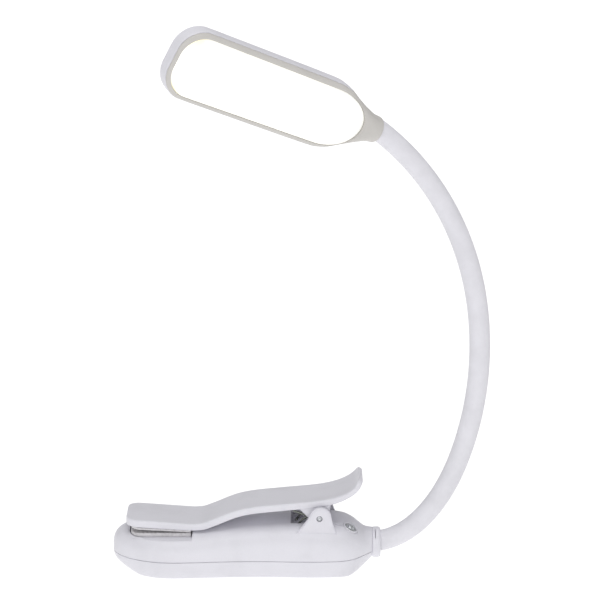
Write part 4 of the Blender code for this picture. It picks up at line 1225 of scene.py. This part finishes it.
def panel_outline(grow_by, count=30):
    """The lit panel's outline: rounded corners at the tip, a long round end at the neck."""
    h = PANEL_HALF_WIDTH + grow_by
    near, far, r = PANEL_NEAR - grow_by, PANEL_FAR + grow_by, 10.5 + grow_by
    pts = [(far - r + r * math.cos(t), h - r + r * math.sin(t)) for t in np.linspace(0, math.pi / 2, 16)]
    long_end = 19.0 + grow_by
    for t in np.linspace(math.pi / 2, 3 * math.pi / 2, count + 1):
        pts.append((near + long_end + long_end * math.cos(t), (h - 0.5) * math.sin(t)))
    pts += [(far - r + r * math.cos(t), -h + r + r * math.sin(t)) for t in np.linspace(-math.pi / 2, 0, 16)]
    return [(u, v + PANEL_SHIFT) for u, v in pts]


class LAMP_OT_head(bpy.types.Operator):
    """Makes the head's front frame with the neck socket, and its back cover"""
    bl_idname = "lamp.head"
    bl_label = "Light head"

    def execute(self, context):
        end, tangent = HEAD_ORIGIN, arm_tangent(ARM_LENGTH)
        front = mesh_object("head_frame", *head_solid())
        cut_from(front,
                 block((HEAD_SPLIT_FROM, -30, -20), (130, 30, HEAD_SPLIT + HEAD_GAP), head_point),
                 prism(panel_outline(0.15), head_point, 1.0, 12.0),
                 prism(panel_outline(-1.6), head_point, -3.2, 6.0),
                 turned([(4.85, -8.0), (4.85, 1.3)], end, tangent, 48),
                 turned([(3.2, -2.0), (3.2, 7.5)], end, tangent, 40),
                 block(*LEAD_CHANNEL, head_point))
        finish_piece(front, "head", ["head_front_frame"], "bezel")

        back = mesh_object("head_cover", *head_solid())
        cut_from(back,
                 block((-5, -30, -20), (HEAD_SPLIT_FROM + 0.16, 30, 20), head_point),
                 block((-5, -30, HEAD_SPLIT - HEAD_GAP), (130, 30, 20), head_point),
                 prism(panel_outline(-0.4), head_point, -3.3, 12.0))
        finish_piece(back, "head", ["head_back_cover"], "shell")
        return {"FINISHED"}


class LAMP_OT_panel(bpy.types.Operator):
    """Makes the opal panel and the light sources on the board behind it"""
    bl_idname = "lamp.panel"
    bl_label = "Lit panel"

    def execute(self, context):
        rows = []
        steps = [(0.0, 2.75), (0.0, 4.75), (-0.12, 4.98), (-0.45, 5.1)]
        steps += [(-0.45 - (PANEL_HALF_WIDTH - 1.2) * k / 8, 5.1 + 0.16 * (1 - (1 - k / 8) ** 2))
                  for k in range(1, 9)]
        for inset, w in steps:
            squeeze = 1 + inset / PANEL_HALF_WIDTH
            for u, v in panel_outline(0.0):
                middle_u = min(max(u, PANEL_NEAR + 19.0), PANEL_FAR - 10.5)
                if inset < -0.5:
                    uu = middle_u + (u - middle_u) * squeeze
                else:
                    uu = u + (middle_u - u) * (-inset / 19)
                vv = PANEL_SHIFT + (v - PANEL_SHIFT) * squeeze
                rows.append(head_point(uu, vv, w))
        panel = mesh_object("lit_panel", rows, ring_faces(len(steps), len(rows) // len(steps)), SHARP_FINE)
        a, s, _ = HEAD_AXES
        layer = panel.data.uv_layers.new(name="panel")
        for loop in panel.data.loops:
            p = np.array(panel.data.vertices[loop.vertex_index].co) / MM - HEAD_ORIGIN
            layer.data[loop.index].uv = ((p @ a - PANEL_NEAR) / (PANEL_FAR - PANEL_NEAR),
                                         (p @ s + HEAD_SAG - PANEL_SHIFT) / (2 * PANEL_HALF_WIDTH) + 0.5)
        finish_piece(panel, "head", ["diffuser_panel"], "diffuser")

        steps = [(1.0, 0.6), (1.0, 1.0), (0.86, 1.12), (0.8, 1.06), (0.76, 1.06), (0.5, 1.24), (0.15, 1.3)]
        outline = rounded([(-1.4, -1.4), (1.4, -1.4), (1.4, 1.4), (-1.4, 1.4)], 0.4, 5)
        rows = [(a * k, b * k, w) for k, w in steps for a, b in outline]
        one = mesh_object("one_source", rows, ring_faces(len(steps), len(outline)))
        one.data.transform(Matrix(np.array(HEAD_AXES).T.tolist()).to_4x4())
        places = [tuple(head_point(u, v + HEAD_SAG, 0.0) * MM) for u, v in LAMPS]
        sources = repeated("light_sources", one, places, "phosphor")
        finish_piece(sources, "head", [f"led_{i}" for i in range(1, 7)], "phosphor")
        return {"FINISHED"}


# ---------------------------------------------------------------- the parts kept as packed
class LAMP_OT_inner_parts(bpy.types.Operator):
    """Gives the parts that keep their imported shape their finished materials"""
    bl_idname = "lamp.inner_parts"
    bl_label = "Inner parts"

    def execute(self, context):
        finishes = {"control_board": "board", "switch_board": "board", "led_board": "light_board",
                    "battery_cell": "pouch", "battery_foam_pad": "foam", "battery_lead": "wire_red",
                    "switch_lead": "wire", "arm_lead": "wire", "head_lead": "wire", "tact_switch": "switch",
                    "neck_anchor": "zinc", "reflector_tray": "reflector"}
        finishes.update({f"arm_core_{i}": "core" for i in range(11)})
        for name, key in finishes.items():
            obj = frame["nodes"][name]
            obj.data.materials.clear()
            obj.data.materials.append(material(key))
        return {"FINISHED"}


# ---------------------------------------------------------------- the studio
class LAMP_OT_stage(bpy.types.Operator):
    """Makes the floor, the lights, the surroundings and the camera"""
    bl_idname = "lamp.stage"
    bl_label = "Studio"

    def execute(self, context):
        scene = context.scene
        angle = np.linspace(0, 2 * math.pi, 96, endpoint=False)
        rows = [[(r * math.cos(a), r * math.sin(a), FLOOR_Z) for a in angle] for r in FLOOR_RADII]
        floor = mesh_object("studio_floor", np.array(rows).reshape(-1, 3), ring_faces(3, 96))
        floor.data.materials.append(material("floor"))

        world = bpy.data.worlds.new("Studio")
        world.use_nodes = True
        tree = world.node_tree
        tree.nodes.clear()
        seen = add(tree, "ShaderNodeLightPath")
        sky = add(tree, "ShaderNodeBackground", {"Color": (1, 1, 1, 1), "Strength": SKY})
        paper = add(tree, "ShaderNodeBackground", {"Color": (1, 1, 1, 1), "Strength": BACKDROP})
        both = add(tree, "ShaderNodeMixShader", links={0: seen.outputs["Is Camera Ray"],
                                                       1: sky.outputs["Background"],
                                                       2: paper.outputs["Background"]})
        add(tree, "ShaderNodeOutputWorld", links={"Surface": both.outputs["Shader"]})
        scene.world = world

        for light in LIGHTS:
            lamp(*light)

        camera = placed("camera", bpy.data.cameras.new("camera"))
        tilt = math.radians(CAMERA_TILT)
        camera.location = (CAMERA_AIM_X, -CAMERA_FAR * math.cos(tilt),
                           CAMERA_AIM_Z + CAMERA_FAR * math.sin(tilt))
        camera.rotation_euler = (math.pi / 2 - tilt, 0.0, 0.0)
        camera.data.lens, camera.data.sensor_width = CAMERA_LENS, 36.0
        camera.data.clip_start, camera.data.clip_end = 0.02, 40.0
        scene.camera = camera
        scene.view_settings.view_transform = "Standard"
        scene.view_settings.look = "None"
        return {"FINISHED"}


def lamp(name, place, towards, side, power):
    """A square soft light."""
    data = bpy.data.lights.new(name, "AREA")
    data.shape, data.size, data.energy = "SQUARE", side, power
    obj = placed(name, data)
    obj.location = place
    obj.rotation_mode = "QUATERNION"
    obj.rotation_quaternion = (Vector(towards) - Vector(place)).to_track_quat("-Z", "Y")


# ---------------------------------------------------------------- panel and registration
PIECES = ("base", "jaw_pads", "lever", "pivot", "button", "inlet", "screws", "neck", "head", "panel",
          "inner_parts", "stage")


class LAMP_PT_panel(bpy.types.Panel):
    """Lists the lamp's pieces, sizes and colours"""
    bl_idname = "LAMP_PT_panel"
    bl_label = "Reading lamp"
    bl_space_type = "VIEW_3D"
    bl_region_type = "UI"
    bl_category = "Lamp"

    def draw(self, context):
        for name in PIECES:
            self.layout.operator("lamp." + name)
        for group in (context.scene.lamp_sizes, context.scene.lamp_colours):
            box = self.layout.box()
            for key in group.__annotations__:
                box.prop(group, key)


CLASSES = (LampSizes, LampColours, LAMP_OT_base, LAMP_OT_jaw_pads, LAMP_OT_lever, LAMP_OT_pivot,
           LAMP_OT_button, LAMP_OT_inlet, LAMP_OT_screws, LAMP_OT_neck, LAMP_OT_head, LAMP_OT_panel,
           LAMP_OT_inner_parts, LAMP_OT_stage, LAMP_PT_panel)


def register():
    for cls in CLASSES:
        bpy.utils.register_class(cls)
    bpy.types.Scene.lamp_sizes = bpy.props.PointerProperty(type=LampSizes)
    bpy.types.Scene.lamp_colours = bpy.props.PointerProperty(type=LampColours)


def unregister():
    del bpy.types.Scene.lamp_sizes
    del bpy.types.Scene.lamp_colours
    for cls in reversed(CLASSES):
        bpy.utils.unregister_class(cls)


def main():
    register()
    for name in PIECES:
        getattr(bpy.ops.lamp, name)()


if __name__ == "__main__":
    main()
